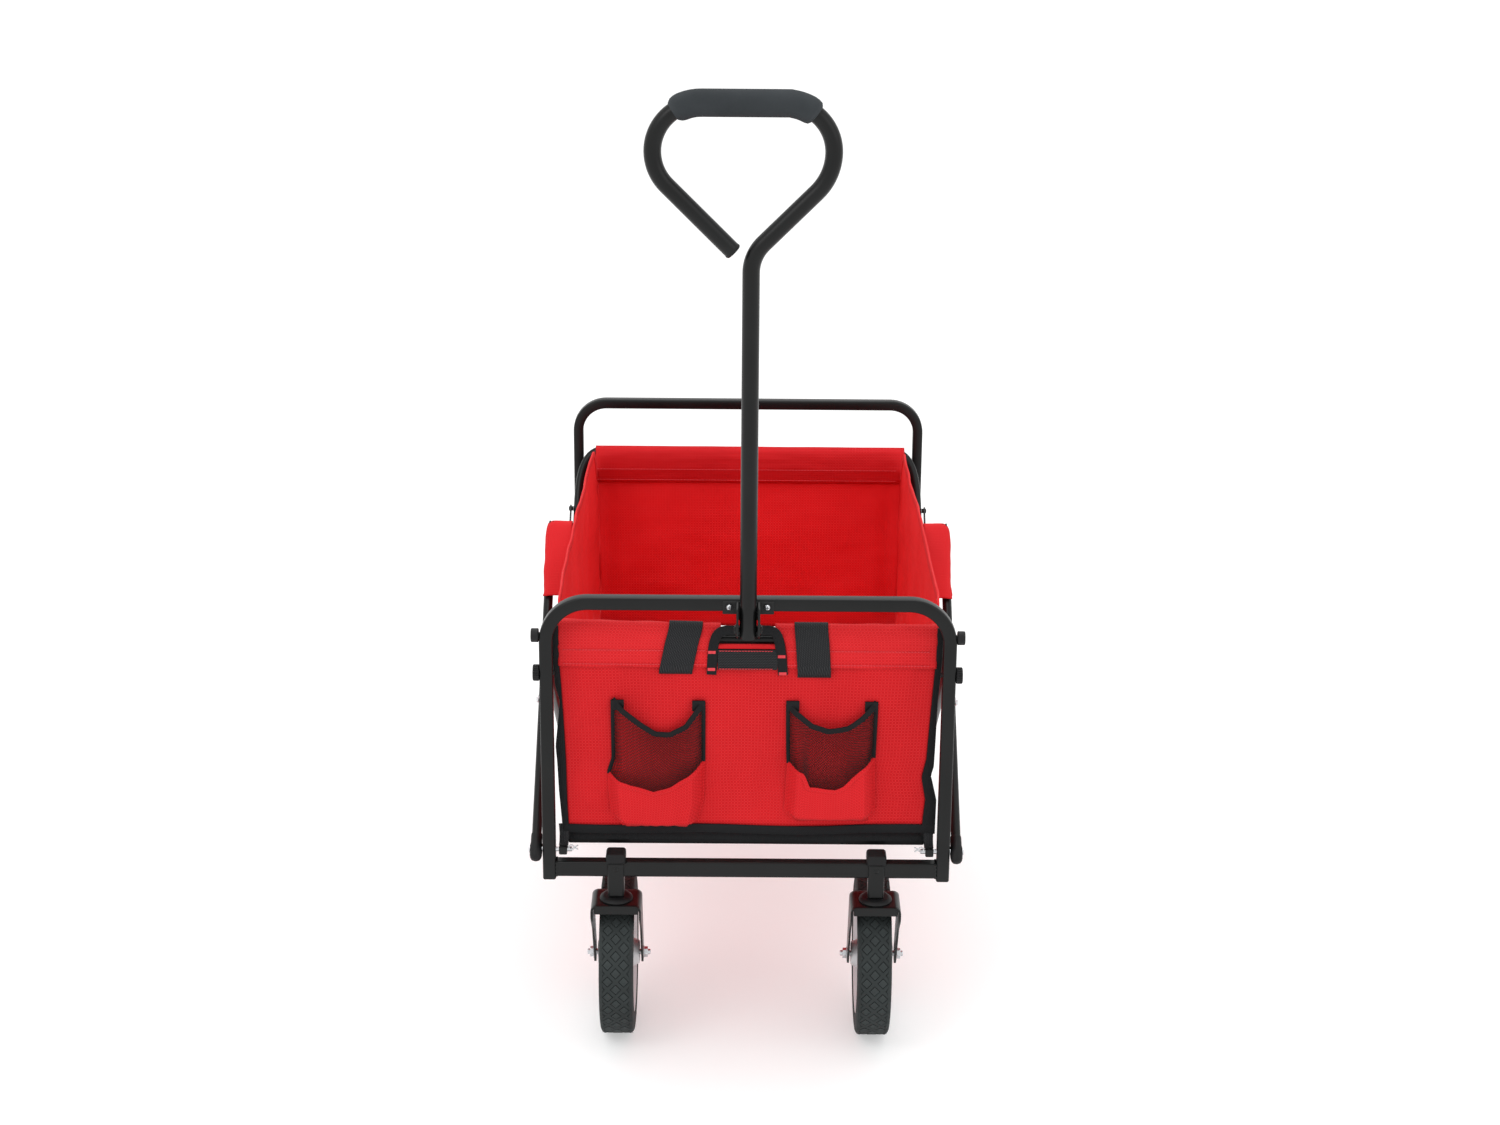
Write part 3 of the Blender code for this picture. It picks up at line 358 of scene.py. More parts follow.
def carry(path, normal):
    """Normal and binormal at each point of a path, carried along it without twist."""
    tangents = []
    for i in range(len(path)):
        ahead = path[min(i + 1, len(path) - 1)] - path[max(i - 1, 0)]
        tangents.append(ahead.normalized())
    current = (normal - tangents[0] * normal.dot(tangents[0])).normalized()
    result = []
    for i, tangent in enumerate(tangents):
        if i:
            current = tangents[i - 1].rotation_difference(tangent) @ current
        current = (current - tangent * current.dot(tangent)).normalized()
        result.append((current, tangent.cross(current)))
    return result


def sweep(bm, path, section, normal=(0, 1, 0), caps=True, uv=True):
    """Sweep outlines along a path.  section(i) gives the outline at point i; UVs are in metres."""
    layer = bm.loops.layers.uv.verify()
    axes = carry(path, Vector(normal))
    rings = []
    travelled = [0.0]
    for i, point in enumerate(path):
        n, b = axes[i]
        rings.append([bm.verts.new(point + n * u + b * v) for u, v in section(i)])
        if i:
            travelled.append(travelled[-1] + (point - path[i - 1]).length)
    count = len(rings[0])
    outline = section(0)
    round_length = [0.0]
    for i in range(count):
        j = (i + 1) % count
        step = math.hypot(outline[j][0] - outline[i][0], outline[j][1] - outline[i][1])
        round_length.append(round_length[-1] + step)
    for i in range(len(rings) - 1):
        for k in range(count):
            j = (k + 1) % count
            face = bm.faces.new((rings[i][k], rings[i][j], rings[i + 1][j], rings[i + 1][k]))
            spots = ((i, k), (i, k + 1), (i + 1, k + 1), (i + 1, k))
            for loop, (a, c) in zip(face.loops, spots):
                loop[layer].uv = (round_length[c], travelled[a])
    if caps:
        bm.faces.new(rings[0])
        bm.faces.new(rings[-1])


def lathe(bm, profile, center, axis=(1, 0, 0), count=48, start=0.0, closed=False):
    """Turn (along, radius) points about an axis through center."""
    axis = Vector(axis).normalized()
    side = Vector((0, 0, 1)) if abs(axis.x) > 0.9 else axis.orthogonal().normalized()
    across = axis.cross(side)
    rows = []
    for along, radius in profile:
        row = []
        for i in range(count):
            angle = start + 2 * math.pi * i / count
            row.append(bm.verts.new(center + axis * along + (side * math.cos(angle)
                                                              + across * math.sin(angle)) * radius))
        rows.append(row)
    pairs = list(zip(rows, rows[1:]))
    if closed:
        pairs.append((rows[-1], rows[0]))
    for first, second in pairs:
        for i in range(count):
            j = (i + 1) % count
            bm.faces.new((first[i], first[j], second[j], second[i]))
    if not closed:
        bm.faces.new(rows[0])
        bm.faces.new(rows[-1])


def box(bm, low, high):
    """An axis-aligned block between two corners given from the front hoop's plane."""
    corners = [bm.verts.new(at(x, y, z)) for x in (low[0], high[0]) for y in (low[1], high[1])
               for z in (low[2], high[2])]
    for quad in ((0, 1, 3, 2), (4, 6, 7, 5), (0, 4, 5, 1), (2, 3, 7, 6), (0, 2, 6, 4), (1, 5, 7, 3)):
        bm.faces.new([corners[i] for i in quad])


def plate(bm, outline, low, high):
    """An outline of (y, z) points, extruded along x."""
    first = [bm.verts.new(at(low, y, z)) for y, z in outline]
    second = [bm.verts.new(at(high, y, z)) for y, z in outline]
    for i in range(len(outline)):
        j = (i + 1) % len(outline)
        bm.faces.new((first[i], first[j], second[j], second[i]))
    bm.faces.new(first)
    bm.faces.new(second)


def grid(bm, place, nu, nv, width, height):
    """A sheet of nu by nv faces.  place(u, v) gives a point for 0..1; UVs are in metres."""
    layer = bm.loops.layers.uv.verify()
    rows = [[bm.verts.new(place(i / nu, j / nv)) for j in range(nv + 1)] for i in range(nu + 1)]
    for i in range(nu):
        for j in range(nv):
            spots = ((i, j), (i + 1, j), (i + 1, j + 1), (i, j + 1))
            face = bm.faces.new([rows[a][b] for a, b in spots])
            for loop, (a, b) in zip(face.loops, spots):
                loop[layer].uv = (a / nu * width, b / nv * height)


def sheet_piece(name, place, nu, nv, width, height, body, material, nodes=(), thickness=0.0012):
    bm = bmesh.new()
    grid(bm, place, nu, nv, width, height)
    obj = finish(name, bm, body, material, nodes, smooth=60)
    return thicken(obj, thickness)


def ribbon(name, path, width, thickness, body, material, normal, wobble=0.0):
    """A flat strip with rounded edges along a path; normal is the direction it faces."""
    bm = bmesh.new()
    section = rounded_rectangle(thickness / 2, width / 2, thickness * 0.45, 2)

    def outline(i):
        swell = 1.0 + ruffle(i * 0.31, len(path), 1.0, wobble)
        return [(u * swell, v) for u, v in section]

    sweep(bm, path, outline, normal)
    obj = finish(name, bm, body, material)
    return obj


def resample(points, spacing):
    """Points at even spacing along a smoothed polyline."""
    dense = []
    count = len(points)
    for i in range(count - 1):
        p0, p1 = points[max(i - 1, 0)], points[i]
        p2, p3 = points[i + 1], points[min(i + 2, count - 1)]
        for step in range(12):
            t = step / 12
            dense.append(0.5 * (2 * p1 + (p2 - p0) * t + (2 * p0 - 5 * p1 + 4 * p2 - p3) * t * t
                                + (3 * p1 - p0 - 3 * p2 + p3) * t ** 3))
    dense.append(points[-1])
    result = [dense[0]]
    for point in dense[1:-1]:
        if (point - result[-1]).length >= spacing:
            result.append(point)
    result.append(dense[-1])
    return result


def straight(start, end, steps):
    return [start.lerp(end, i / steps) for i in range(steps + 1)]


# ---------------------------------------------------------------- hoops, crossbars and sockets
LEG_BOTTOM = HOOP_LOW[2]
HALF_WIDTH = HOOP_HIGH[0]


def hoop(name, y, top, tube, bend, body, node):
    half = HALF_WIDTH - tube / 2
    high = top - tube / 2
    path = straight(at(-half, y, LEG_BOTTOM), at(-half, y, high - bend), 8)
    path += arc((-half + bend, high - bend), bend, 180, 90, 16, y)[1:]
    path += arc((half - bend, high - bend), bend, 90, 0, 16, y)
    path += straight(at(half, y, high - bend), at(half, y, LEG_BOTTOM), 8)[1:]
    outline = rounded_rectangle(tube / 2, tube / 2, 0.0028)
    bm = bmesh.new()
    sweep(bm, path, lambda i: outline)
    finish(name, bm, body, "black_paint", (node,))
    plugs = bmesh.new()
    inset = tube / 2 - 0.0006
    for side in (-1, 1):
        x = side * half
        box(plugs, (x - inset, y - inset, LEG_BOTTOM - 0.0016), (x + inset, y + inset, LEG_BOTTOM + 0.004))
    bevel(finish(name + "_plugs", plugs, body, "black_plastic"), 0.0015)


def weld_bead(bm, x, y, depth, low, high):
    """A lumpy fillet round the end of a crossbar."""
    corners = [at(x, y - depth, low), at(x, y - depth, high), at(x, y + depth, high), at(x, y + depth, low)]
    for i in range(4):
        path = straight(corners[i], corners[(i + 1) % 4], 10)
        sweep(bm, path, lambda k: circle(0.0013 + 0.0005 * math.sin(k * 2.1), 8), normal=(1, 0, 0))


def crossbar(name, y, tube, body, nodes):
    bottom, top = 0.238, 0.258
    reach = HALF_WIDTH - tube - 0.0003
    bm = bmesh.new()
    box(bm, (-reach, y - tube / 2, bottom), (reach, y + tube / 2, top))
    bevel(finish(name, bm, body, "black_paint", nodes), 0.0026)
    beads = bmesh.new()
    for side in (-1, 1):
        weld_bead(beads, side * (reach - 0.0006), y, tube / 2 - 0.0012, bottom + 0.0012, top - 0.0012)
    finish(name + "_welds", beads, body, "black_paint")


FRONT_TUBE = 0.016
REAR_TUBE = 0.014
hoop("hoop_front", 0.0, HOOP_HIGH[2], FRONT_TUBE, 0.050, "front_frame", "front_hoop")
hoop("hoop_rear", LENGTH, REAR_HIGH[2], REAR_TUBE, 0.040, "rear_frame", "rear_hoop")
crossbar("crossbar_front", 0.0, FRONT_TUBE, "front_frame", ("front_crossbar",))
crossbar("crossbar_rear", LENGTH, REAR_TUBE, "rear_frame", ("rear_crossbar",))

CASTOR_X = JOINT_AT["castor_swivel_right"].x
CROWN_TOP = JOINT_AT["castor_swivel_right"].z


def sockets():
    for label, side in SIDES:
        x = side * CASTOR_X
        bm = bmesh.new()
        box(bm, (x - 0.0100, -0.0105, 0.2116), (x + 0.0100, 0.0115, 0.2570))
        bevel(finish("socket_" + label, bm, "front_frame", "black_paint"), 0.0022)
        cap = bmesh.new()
        box(cap, (x - 0.0122, -0.0125, 0.2560), (x + 0.0122, 0.0130, 0.2700))
        bevel(finish("socket_cap_" + label, cap, "front_frame", "black_plastic"), 0.0042, 4)
        rivet = bmesh.new()
        lathe(rivet, [(-0.0118, 0.0006), (-0.0117, 0.0018), (-0.0108, 0.0030), (-0.0100, 0.0030)],
              at(x, 0, 0.2490), (0, 1, 0), 20)
        finish("socket_rivet_" + label, rivet, "front_frame", "black_paint")


sockets()


# ---------------------------------------------------------------- castors and wheels
TRAIL = JOINT_AT["front_roll_right"].y - FRONT_Y
WHEEL_RADIUS = JOINT_AT["front_roll_right"].z
RIM_RADIUS = 0.0765
TYRE_HALF = 0.02125
REAR_WHEEL_X = JOINT_AT["rear_roll_right"].x

FORK_FRONT = ((0.0963, 0.0467), (0.1600, 0.0080), (0.1880, -0.0240), (0.2060, -0.0240))
FORK_BACK = ((0.1069, 0.0693), (0.1800, 0.0340), (0.2060, 0.0240))
FORK_EYE = 0.0125
FORK_X = 0.02975
FORK_CORNER = 0.0070


def fork_edges(z):
    """Front and back edge of a fork leg at a height."""
    drop = max(-1.0, min(1.0, (z - WHEEL_RADIUS) / FORK_EYE))
    reach = FORK_EYE * math.sqrt(max(0.0, 1 - drop * drop))
    front = TRAIL - reach if z < FORK_FRONT[0][0] else lookup(FORK_FRONT, z)
    back = TRAIL + reach if z < FORK_BACK[0][0] else lookup(FORK_BACK, z)
    return front, back


def fork(label, side):
    body = "castor_" + label
    middle = side * CASTOR_X
    top = CROWN_TOP - 0.00125
    half = []
    low = WHEEL_RADIUS - FORK_EYE
    eye_steps = 8
    for i in range(eye_steps):
        angle = math.pi / 2 * i / eye_steps
        half.append((-FORK_X, WHEEL_RADIUS - FORK_EYE * math.cos(angle)))
    for i in range(15):
        half.append((-FORK_X, WHEEL_RADIUS + (top - FORK_CORNER - WHEEL_RADIUS) * i / 14))
    for i in range(1, 9):
        angle = math.pi / 2 * i / 8
        half.append((-FORK_X + FORK_CORNER * (1 - math.cos(angle)),
                     top - FORK_CORNER * (1 - math.sin(angle))))
    line = half + [(-x, z) for x, z in reversed(half)]

    def place(u, v):
        x, z = line[round(u * (len(line) - 1))]
        front, back = fork_edges(max(z, low + 1e-5))
        return at(middle + x, front + (back - front) * v, z)

    bm = bmesh.new()
    grid(bm, place, len(line) - 1, 8, 0.2, 0.05)
    obj = finish("fork_" + label, bm, body, "black_paint", ("castor_fork_" + label,))
    thicken(obj, 0.0025)
    bevel(obj, 0.0006, 2, 50)
    lip = bmesh.new()
    box(lip, (middle - 0.0270, -0.0240, 0.1945), (middle + 0.0270, -0.0216, 0.2045))
    bevel(finish("fork_lip_" + label, lip, body, "black_paint"), 0.0011)
    bearing = bmesh.new()
    lathe(bearing, [(-0.0006, 0.0150), (-0.0004, 0.0195), (0.0010, 0.0205), (0.0022, 0.0200),
                    (0.0030, 0.0188), (0.0038, 0.0182), (0.0050, 0.0150)],
          at(middle, 0, CROWN_TOP), (0, 0, 1), 48)
    finish("bearing_" + label, bearing, body, "black_plastic")


TREAD_ROWS = 60
TREAD_X = 0.0100
TREAD_EDGE = 0.0168
TREAD_RINGS = ((1.0, -0.0003), (0.70, -0.0003), (0.665, -0.0014), (0.60, -0.0014), (0.565, 0.0))


def tread_cell(bm, center, x0, angle0, cut):
    """One lozenge with a groove round its middle, wrapped on the tyre."""
    pitch = 2 * math.pi / TREAD_ROWS

    def point(dx, dt, rise):
        x = x0 + dx * TREAD_X
        if cut:
            x = max(-TREAD_EDGE, min(TREAD_EDGE, x))
        radius = WHEEL_RADIUS + rise
        angle = angle0 + dt * pitch
        return bm.verts.new(center + Vector((x, radius * math.sin(angle), radius * math.cos(angle))))

    corners = ((1, 0), (0, 1), (-1, 0), (0, -1))
    rings = []
    for scale, rise in TREAD_RINGS:
        ring = []
        for i in range(4):
            a, b = corners[i], corners[(i + 1) % 4]
            for step in range(3):
                t = step / 3
                ring.append(point((a[0] + (b[0] - a[0]) * t) * scale,
                                  (a[1] + (b[1] - a[1]) * t) * scale, rise))
        rings.append(ring)
    for first, second in zip(rings, rings[1:]):
        for i in range(12):
            j = (i + 1) % 12
            bm.faces.new((first[i], first[j], second[j], second[i]))
    bm.faces.new(rings[-1])


def wheel(name, x, y, body, tyre_node, hub_node, bore):
    center = at(x, y, WHEEL_RADIUS)
    tyre = bmesh.new()
    half = TYRE_HALF
    skin = WHEEL_RADIUS
    side = [(half - 0.0010, RIM_RADIUS), (half - 0.0002, RIM_RADIUS + 0.0012), (half, RIM_RADIUS + 0.0060),
            (half, RIM_RADIUS + 0.0066), (half - 0.0004, RIM_RADIUS + 0.0070), (half, RIM_RADIUS + 0.0074),
            (half, skin - 0.0085), (half - 0.0004, skin - 0.0052), (half - 0.0016, skin - 0.0024),
            (TREAD_EDGE + 0.0008, skin - 0.0009), (TREAD_EDGE, skin - 0.0003), (TREAD_EDGE, skin - 0.0022)]
    lathe(tyre, [(-a, r) for a, r in side] + list(reversed(side)), center, count=120, closed=True)
    pitch = 2 * math.pi / TREAD_ROWS
    for row in range(TREAD_ROWS):
        columns = (-TREAD_X, TREAD_X) if row % 2 == 0 else (-2 * TREAD_X, 0.0, 2 * TREAD_X)
        for column in columns:
            tread_cell(tyre, center, column, row * pitch, abs(column) > 1.5 * TREAD_X)
    finish("tyre_" + name, tyre, body, "tyre_rubber", (tyre_node,), smooth=30)

    hub = bmesh.new()
    rim = RIM_RADIUS - 0.0004
    edge = TYRE_HALF - 0.0010
    web = 0.0110
    face = [(edge - 0.0008, rim), (edge, rim - 0.0010), (edge, rim - 0.0030), (edge - 0.0010, rim - 0.0045),
            (web + 0.0035, rim - 0.0075), (web + 0.0012, rim - 0.0095), (web, rim - 0.0130), (web, 0.0260),
            (web + 0.0010, 0.0225), (web + 0.0050, 0.0190), (0.0225, 0.0160), (0.0252, 0.0150),
            (0.0262, 0.0138), (0.0262, bore)]
    lathe(hub, [(-a, r) for a, r in face] + list(reversed(face)), center, count=64, closed=True)
    for spoke in range(8):
        angle = spoke * math.pi / 4
        out = Vector((0, math.sin(angle), math.cos(angle)))
        for sign in (-1, 1):
            path = [center + out * 0.020 + Vector((sign * web, 0, 0)),
                    center + out * (rim - 0.008) + Vector((sign * web, 0, 0))]
            outline = rounded_rectangle(0.0042, 0.0018, 0.0012, 2)
            sweep(hub, path, lambda i: outline, normal=(1, 0, 0))
    finish("hub_" + name, hub, body, "wheel_plastic", (hub_node,), smooth=30)


def nut_and_bolt(bm, center, axis, reach, nut_radius, nut_from, nut_to, pin_radius):
    """A plain pin with a hexagonal nut near its end, on one side of center."""
    lathe(bm, [(0.0, pin_radius), (reach - 0.0008, pin_radius), (reach, pin_radius - 0.0008)],
          center, axis, 24)
    lathe(bm, [(nut_from, nut_radius), (nut_to, nut_radius)], center, axis, 6, math.pi / 6)
    lathe(bm, [(nut_from - 0.0009, nut_radius * 1.25), (nut_from, nut_radius * 1.25)], center, axis, 32)


for label, side in SIDES:
    fork(label, side)
    wheel("front_" + label, side * CASTOR_X, TRAIL, "front_wheel_" + label, "front_tyre_" + label,
          "front_hub_" + label, 0.0046)
    wheel("rear_" + label, side * REAR_WHEEL_X, LENGTH, "rear_wheel_" + label, "rear_tyre_" + label,
          "rear_hub_" + label, 0.0056)
    axle = bmesh.new()
    for sign in (-1, 1):
        nut_and_bolt(axle, at(side * CASTOR_X, TRAIL, WHEEL_RADIUS), (sign, 0, 0), 0.0400, 0.0068,
                     0.0318, 0.0366, 0.0036)
    bevel(finish("axle_" + label, axle, "castor_" + label, "zinc", ("castor_axle_" + label,)),
          0.0006, 2)


def rear_axle():
    bm = bmesh.new()
    y = LENGTH
    lathe(bm, [(-0.2448, 0.0080), (-0.2440, 0.0090), (-0.2384, 0.0090), (-0.2384, 0.0050), (0.2384, 0.0050),
               (0.2384, 0.0090), (0.2440, 0.0090), (0.2448, 0.0080)], at(0, y, WHEEL_RADIUS), count=32)
    finish("axle_rear", bm, "rear_frame", "zinc", ("rear_axle",))
    outline = [(y - 0.0220, 0.2500), (y + 0.0220, 0.2500), (y + 0.0150, 0.1120)]
    for i in range(13):
        angle = -math.pi * i / 12
        outline.append((y + 0.0150 * math.cos(angle), WHEEL_RADIUS + 0.0150 * math.sin(angle)))
    outline.append((y - 0.0150, 0.1120))
    brackets = bmesh.new()
    for side in (-1, 1):
        plate(brackets, outline, *sorted((side * 0.1700, side * 0.1740)))
    bevel(finish("wheel_brackets", brackets, "rear_frame", "black_paint"), 0.0010)


rear_axle()


# ---------------------------------------------------------------- pull handle
HANDLE_Y = JOINT_AT["handle_pivot"].y - FRONT_Y
HANDLE_Z = JOINT_AT["handle_pivot"].z
HANDLE_RADIUS = 0.010
LOOP_Z = 1.1394
LOOP_RADIUS = 0.0546
LOOP_LEFT_X = -0.0565
LOOP_RIGHT_X = 0.0367
LOOP_LOWER_RADIUS = 0.064
STEM_BEND = 0.048
HANDLE_FOOT = 0.5595            # lower end of the tube
GRIP_RADIUS = 0.0156


def handle():
    limb = Vector((-math.sqrt(0.5), 0, math.sqrt(0.5)))
    loop_left = arc((LOOP_LEFT_X, LOOP_Z), LOOP_RADIUS, 225, 90, 30, HANDLE_Y)
    loop_right = arc((LOOP_RIGHT_X, LOOP_Z), LOOP_RADIUS, 90, 0, 20, HANDLE_Y)
    extreme = LOOP_RIGHT_X + LOOP_RADIUS
    lower = arc((extreme - LOOP_LOWER_RADIUS, LOOP_Z), LOOP_LOWER_RADIUS, 0, -45, 12, HANDLE_Y)
    limb_top = lower[-1]
    bend_z = limb_top.z - limb_top.x - STEM_BEND * math.tan(math.pi / 8)
    stem_bend = arc((STEM_BEND, bend_z), STEM_BEND, 135, 180, 12, HANDLE_Y)
    cut_end = loop_left[0] - limb * 0.1035
    path = straight(cut_end, loop_left[0], 6)[:-1] + loop_left + loop_right + lower[1:]
    path += straight(limb_top, stem_bend[0], 6)[1:-1] + stem_bend
    path += straight(stem_bend[-1], at(0, HANDLE_Y, HANDLE_FOOT), 14)[1:]
    tube = circle(HANDLE_RADIUS, 32)
    bm = bmesh.new()
    sweep(bm, path, lambda i: tube)
    finish("handle_bar", bm, "handle", "black_paint", ("handle_tube",))
    plug = bmesh.new()
    along = (cut_end - loop_left[0]).normalized()
    lathe(plug, [(-0.004, 0.0086), (0.0, 0.0103), (0.0022, 0.0103), (0.0034, 0.0092), (0.0038, 0.0070)],
          cut_end, along, 32)
    finish("handle_plug", plug, "handle", "black_plastic")

    grip_path = arc((LOOP_LEFT_X, LOOP_Z), LOOP_RADIUS, 125, 90, 14, HANDLE_Y)
    grip_path += arc((LOOP_RIGHT_X, LOOP_Z), LOOP_RADIUS, 90, 51, 16, HANDLE_Y)
    grip_path = resample(grip_path, 0.0035)
    last = len(grip_path) - 1

    def grip_section(i):
        end = min(i, last - i)
        swell = (0.72, 0.90, 0.97)[end] if end < 3 else 1.0
        return circle(GRIP_RADIUS * swell, 40)

    grip = bmesh.new()
    sweep(grip, grip_path, grip_section)
    finish("grip", grip, "handle", "foam", ("handle_grip",))

    pin = bmesh.new()
    for sign in (-1, 1):
        nut_and_bolt(pin, at(0, HANDLE_Y, HANDLE_Z), (sign, 0, 0), 0.0172, 0.0050, 0.0150, 0.0166, 0.0030)
    finish("hinge_pin", pin, "handle", "black_paint", ("handle_pin",))


handle()


def bracket():
    """The folded channel that carries the handle on the front hoop's top bar."""
    face = -FRONT_TUBE / 2 - 0.0003
    flange = bmesh.new()
    box(flange, (-0.0305, face - 0.0015, 0.5845), (0.0305, face, 0.6005))
    box(flange, (-0.0142, face - 0.0015, 0.5770), (0.0142, face, 0.5850))
    bevel(finish("bracket_flange", flange, "front_frame", "black_paint", ("handle_bracket",)),
          0.0007, 2)
    outline = [(face - 0.0015, 0.6005), (face, 0.6005), (face, 0.5760), (HANDLE_Y + 0.0090, 0.5620)]
    for i in range(13):
        angle = math.radians(-50 - 130 * i / 12)
        outline.append((HANDLE_Y + 0.0105 * math.cos(angle), HANDLE_Z + 0.0105 * math.sin(angle)))
    outline += [(HANDLE_Y - 0.0105, 0.5880), (HANDLE_Y - 0.0092, 0.5935), (HANDLE_Y - 0.0060, 0.5975)]
    cheeks = bmesh.new()
    for side in (-1, 1):
        plate(cheeks, outline, *sorted((side * 0.0114, side * 0.0142)))
    bevel(finish("bracket_cheeks", cheeks, "front_frame", "black_paint"), 0.0008, 2)
    for label, side in SIDES:
        screw = bmesh.new()
        center = at(side * SCREW_X, 0, SCREW_Z)
        lathe(screw, [(-0.0128, 0.0012), (-0.0125, 0.0024), (-0.0116, 0.0033), (-0.0104, 0.0036)], center,
              (0, 1, 0), 28)
        finish("screw_" + label, screw, "front_frame", "zinc", ("bracket_screw_" + label,))
        washer = bmesh.new()
        lathe(washer, [(-0.0106, 0.0050), (-0.0099, 0.0053)], center, (0, 1, 0), 28)
        cross = 0.0022
        box(washer, (side * SCREW_X - cross, -0.01292, SCREW_Z - 0.0004),
            (side * SCREW_X + cross, -0.0120, SCREW_Z + 0.0004))
        box(washer, (side * SCREW_X - 0.0004, -0.01292, SCREW_Z - cross),
            (side * SCREW_X + 0.0004, -0.0120, SCREW_Z + cross))
        finish("screw_recess_" + label, washer, "front_frame", "black_plastic")


bracket()


def knobs():
    for label, side in SIDES:
        axis = (side, 0, 0)
        ribbed = bmesh.new()
        ribs = 22
        outline_rows = [(0.2494, 0.92), (0.2500, 1.0), (0.2560, 1.0), (0.2570, 0.88)]
        rows = []
        for along, scale in outline_rows:
            row = []
            for i in range(ribs * 4):
                lump = (1.0, 1.0, 0.92, 0.92)[i % 4]
                angle = 2 * math.pi * i / (ribs * 4)
                radius = 0.0100 * scale * lump
                row.append(ribbed.verts.new(at(side * along, radius * math.sin(angle),
                                               KNOB_Z + radius * math.cos(angle))))
            rows.append(row)
        for first, second in zip(rows, rows[1:]):
            for i in range(ribs * 4):
                j = (i + 1) % (ribs * 4)
                ribbed.faces.new((first[i], first[j], second[j], second[i]))
        ribbed.faces.new(rows[0])
        ribbed.faces.new(rows[-1])
        lathe(ribbed, [(0.2312, 0.0028), (0.2496, 0.0028)], at(0, 0, KNOB_Z), axis, 20)
        finish("knob_ribbed_" + label, ribbed, "front_frame", "black_plastic",
               ("ribbed_knob_" + label,))
        plain = bmesh.new()
        lathe(plain, [(0.2460, 0.0038), (0.2494, 0.0038), (0.2494, 0.0078), (0.2500, 0.0084),
                      (0.2570, 0.0084), (0.2582, 0.0080), (0.2586, 0.0070)], at(0, 0, LOCK_Z), axis, 40)
        finish("knob_plain_" + label, plain, "front_frame", "black_plastic",
               ("lock_knob_" + label,))


knobs()


# ---------------------------------------------------------------- scissor braces and rim hoops
BRACE_X = 0.2572
RIM_ARM_X = 0.241
TUBE_RADIUS = 0.006
TONGUE = 0.026
TONGUE_HALF = 0.0017
TONGUE_WIDTH = 0.0156
TAPER = 0.014


def flattened(amount, count=28):
    """A tube's section, squeezed by amount from round (0) to a flat tongue (1)."""
    half_n = TUBE_RADIUS + (TONGUE_HALF - TUBE_RADIUS) * amount
    half_b = TUBE_RADIUS + (TONGUE_WIDTH / 2 - TUBE_RADIUS) * amount
    return [(half_n * u, half_b * v) for u, v in circle(1.0, count)]


def flip(points):
    """The same path at the other end of the wagon."""
    return [Vector((p.x, 2 * FRONT_Y + LENGTH - p.y, p.z)) for p in points]


def brace(label, side, rear):
    along = Vector((0, COS, SIN))
    foot = at(side * BRACE_X, 0, PIVOT_Z)
    shift = Vector((side * (TONGUE_HALF + 0.0004), 0, 0)) * (-1 if rear else 1)
    plan = [(-0.0080, 0.0), (BRACE_LENGTH * 0.5, 0.0), (BRACE_LENGTH - TONGUE - TAPER, 0.0)]
    for i in range(1, 7):
        t = i / 6
        plan.append((BRACE_LENGTH - TONGUE - TAPER * (1 - t), smoothstep(0, 1, t)))
    plan += [(BRACE_LENGTH, 1.0), (BRACE_LENGTH + 0.0050, 1.0), (BRACE_LENGTH + 0.0066, 0.98)]
    path = [foot + along * s + shift * amount for s, amount in plan]
    if rear:
        path = flip(path)
    bm = bmesh.new()
    sweep(bm, path, lambda i: flattened(plan[i][1]), normal=(1, 0, 0))
    end = "rear" if rear else "front"
    name = "brace_" + end + "_" + label
    finish("side_" + name, bm, end + "_brace", "black_paint", (name,))
    if not rear:
        cap = bmesh.new()
        lathe(cap, [(-0.0160, 0.0012), (-0.0158, 0.0030), (-0.0145, 0.0054), (-0.0122, 0.0068),
                    (-0.0090, 0.0075), (-0.0040, 0.0078), (0.0040, 0.0077), (0.0080, 0.0070),
                    (0.0180, 0.0069), (0.0200, 0.0065)],
              foot, along, 40)
        finish("cap_" + label, cap, "front_brace", "black_plastic", ("brace_cap_" + label,))


def rim_hoop(name, node, body, rear):
    """Two arms rising from low in the middle to a crossbar in the cloth's sleeve."""
    foot = at(0, MIDDLE, FOOT_Z)
    up = Vector((0, -COS, SIN))
    bar_z = RIM_Z if rear else FRONT_RIM_Z
    bend_s = (MIDDLE - RIM_INSET - 0.045) / COS
    shift = Vector((-TONGUE_HALF - 0.0004, 0, 0)) * (-1 if rear else 1)
    plan = [(-0.0066, 0.98), (-0.0050, 1.0), (0.0, 1.0)]
    for i in range(7):
        t = i / 6
        plan.append((TONGUE + TAPER * t, 1 - smoothstep(0, 1, t)))
    plan += [(bend_s * 0.5, 0.0), (bend_s, 0.0)]
    side = Vector((-RIM_ARM_X, 0, 0))
    arm = [side + foot + up * s + shift * amount for s, amount in plan]
    flats = [amount for _, amount in plan]
    corner_end = at(-RIM_ARM_X + 0.036, RIM_INSET, bar_z)
    corner = bezier(arm[-1], arm[-1] + up * 0.040, corner_end - Vector((0.036, 0, 0)), corner_end, 18)
    half_path = arm + corner
    flats += [0.0] * len(corner)
    path = half_path + [Vector((-p.x, p.y, p.z)) for p in reversed(half_path)]
    flats += list(reversed(flats))
    if rear:
        path = flip(path)
    bm = bmesh.new()
    sweep(bm, path, lambda i: flattened(flats[i], 24), normal=(1, 0, 0))
    finish(name, bm, body, "black_paint", (node,))


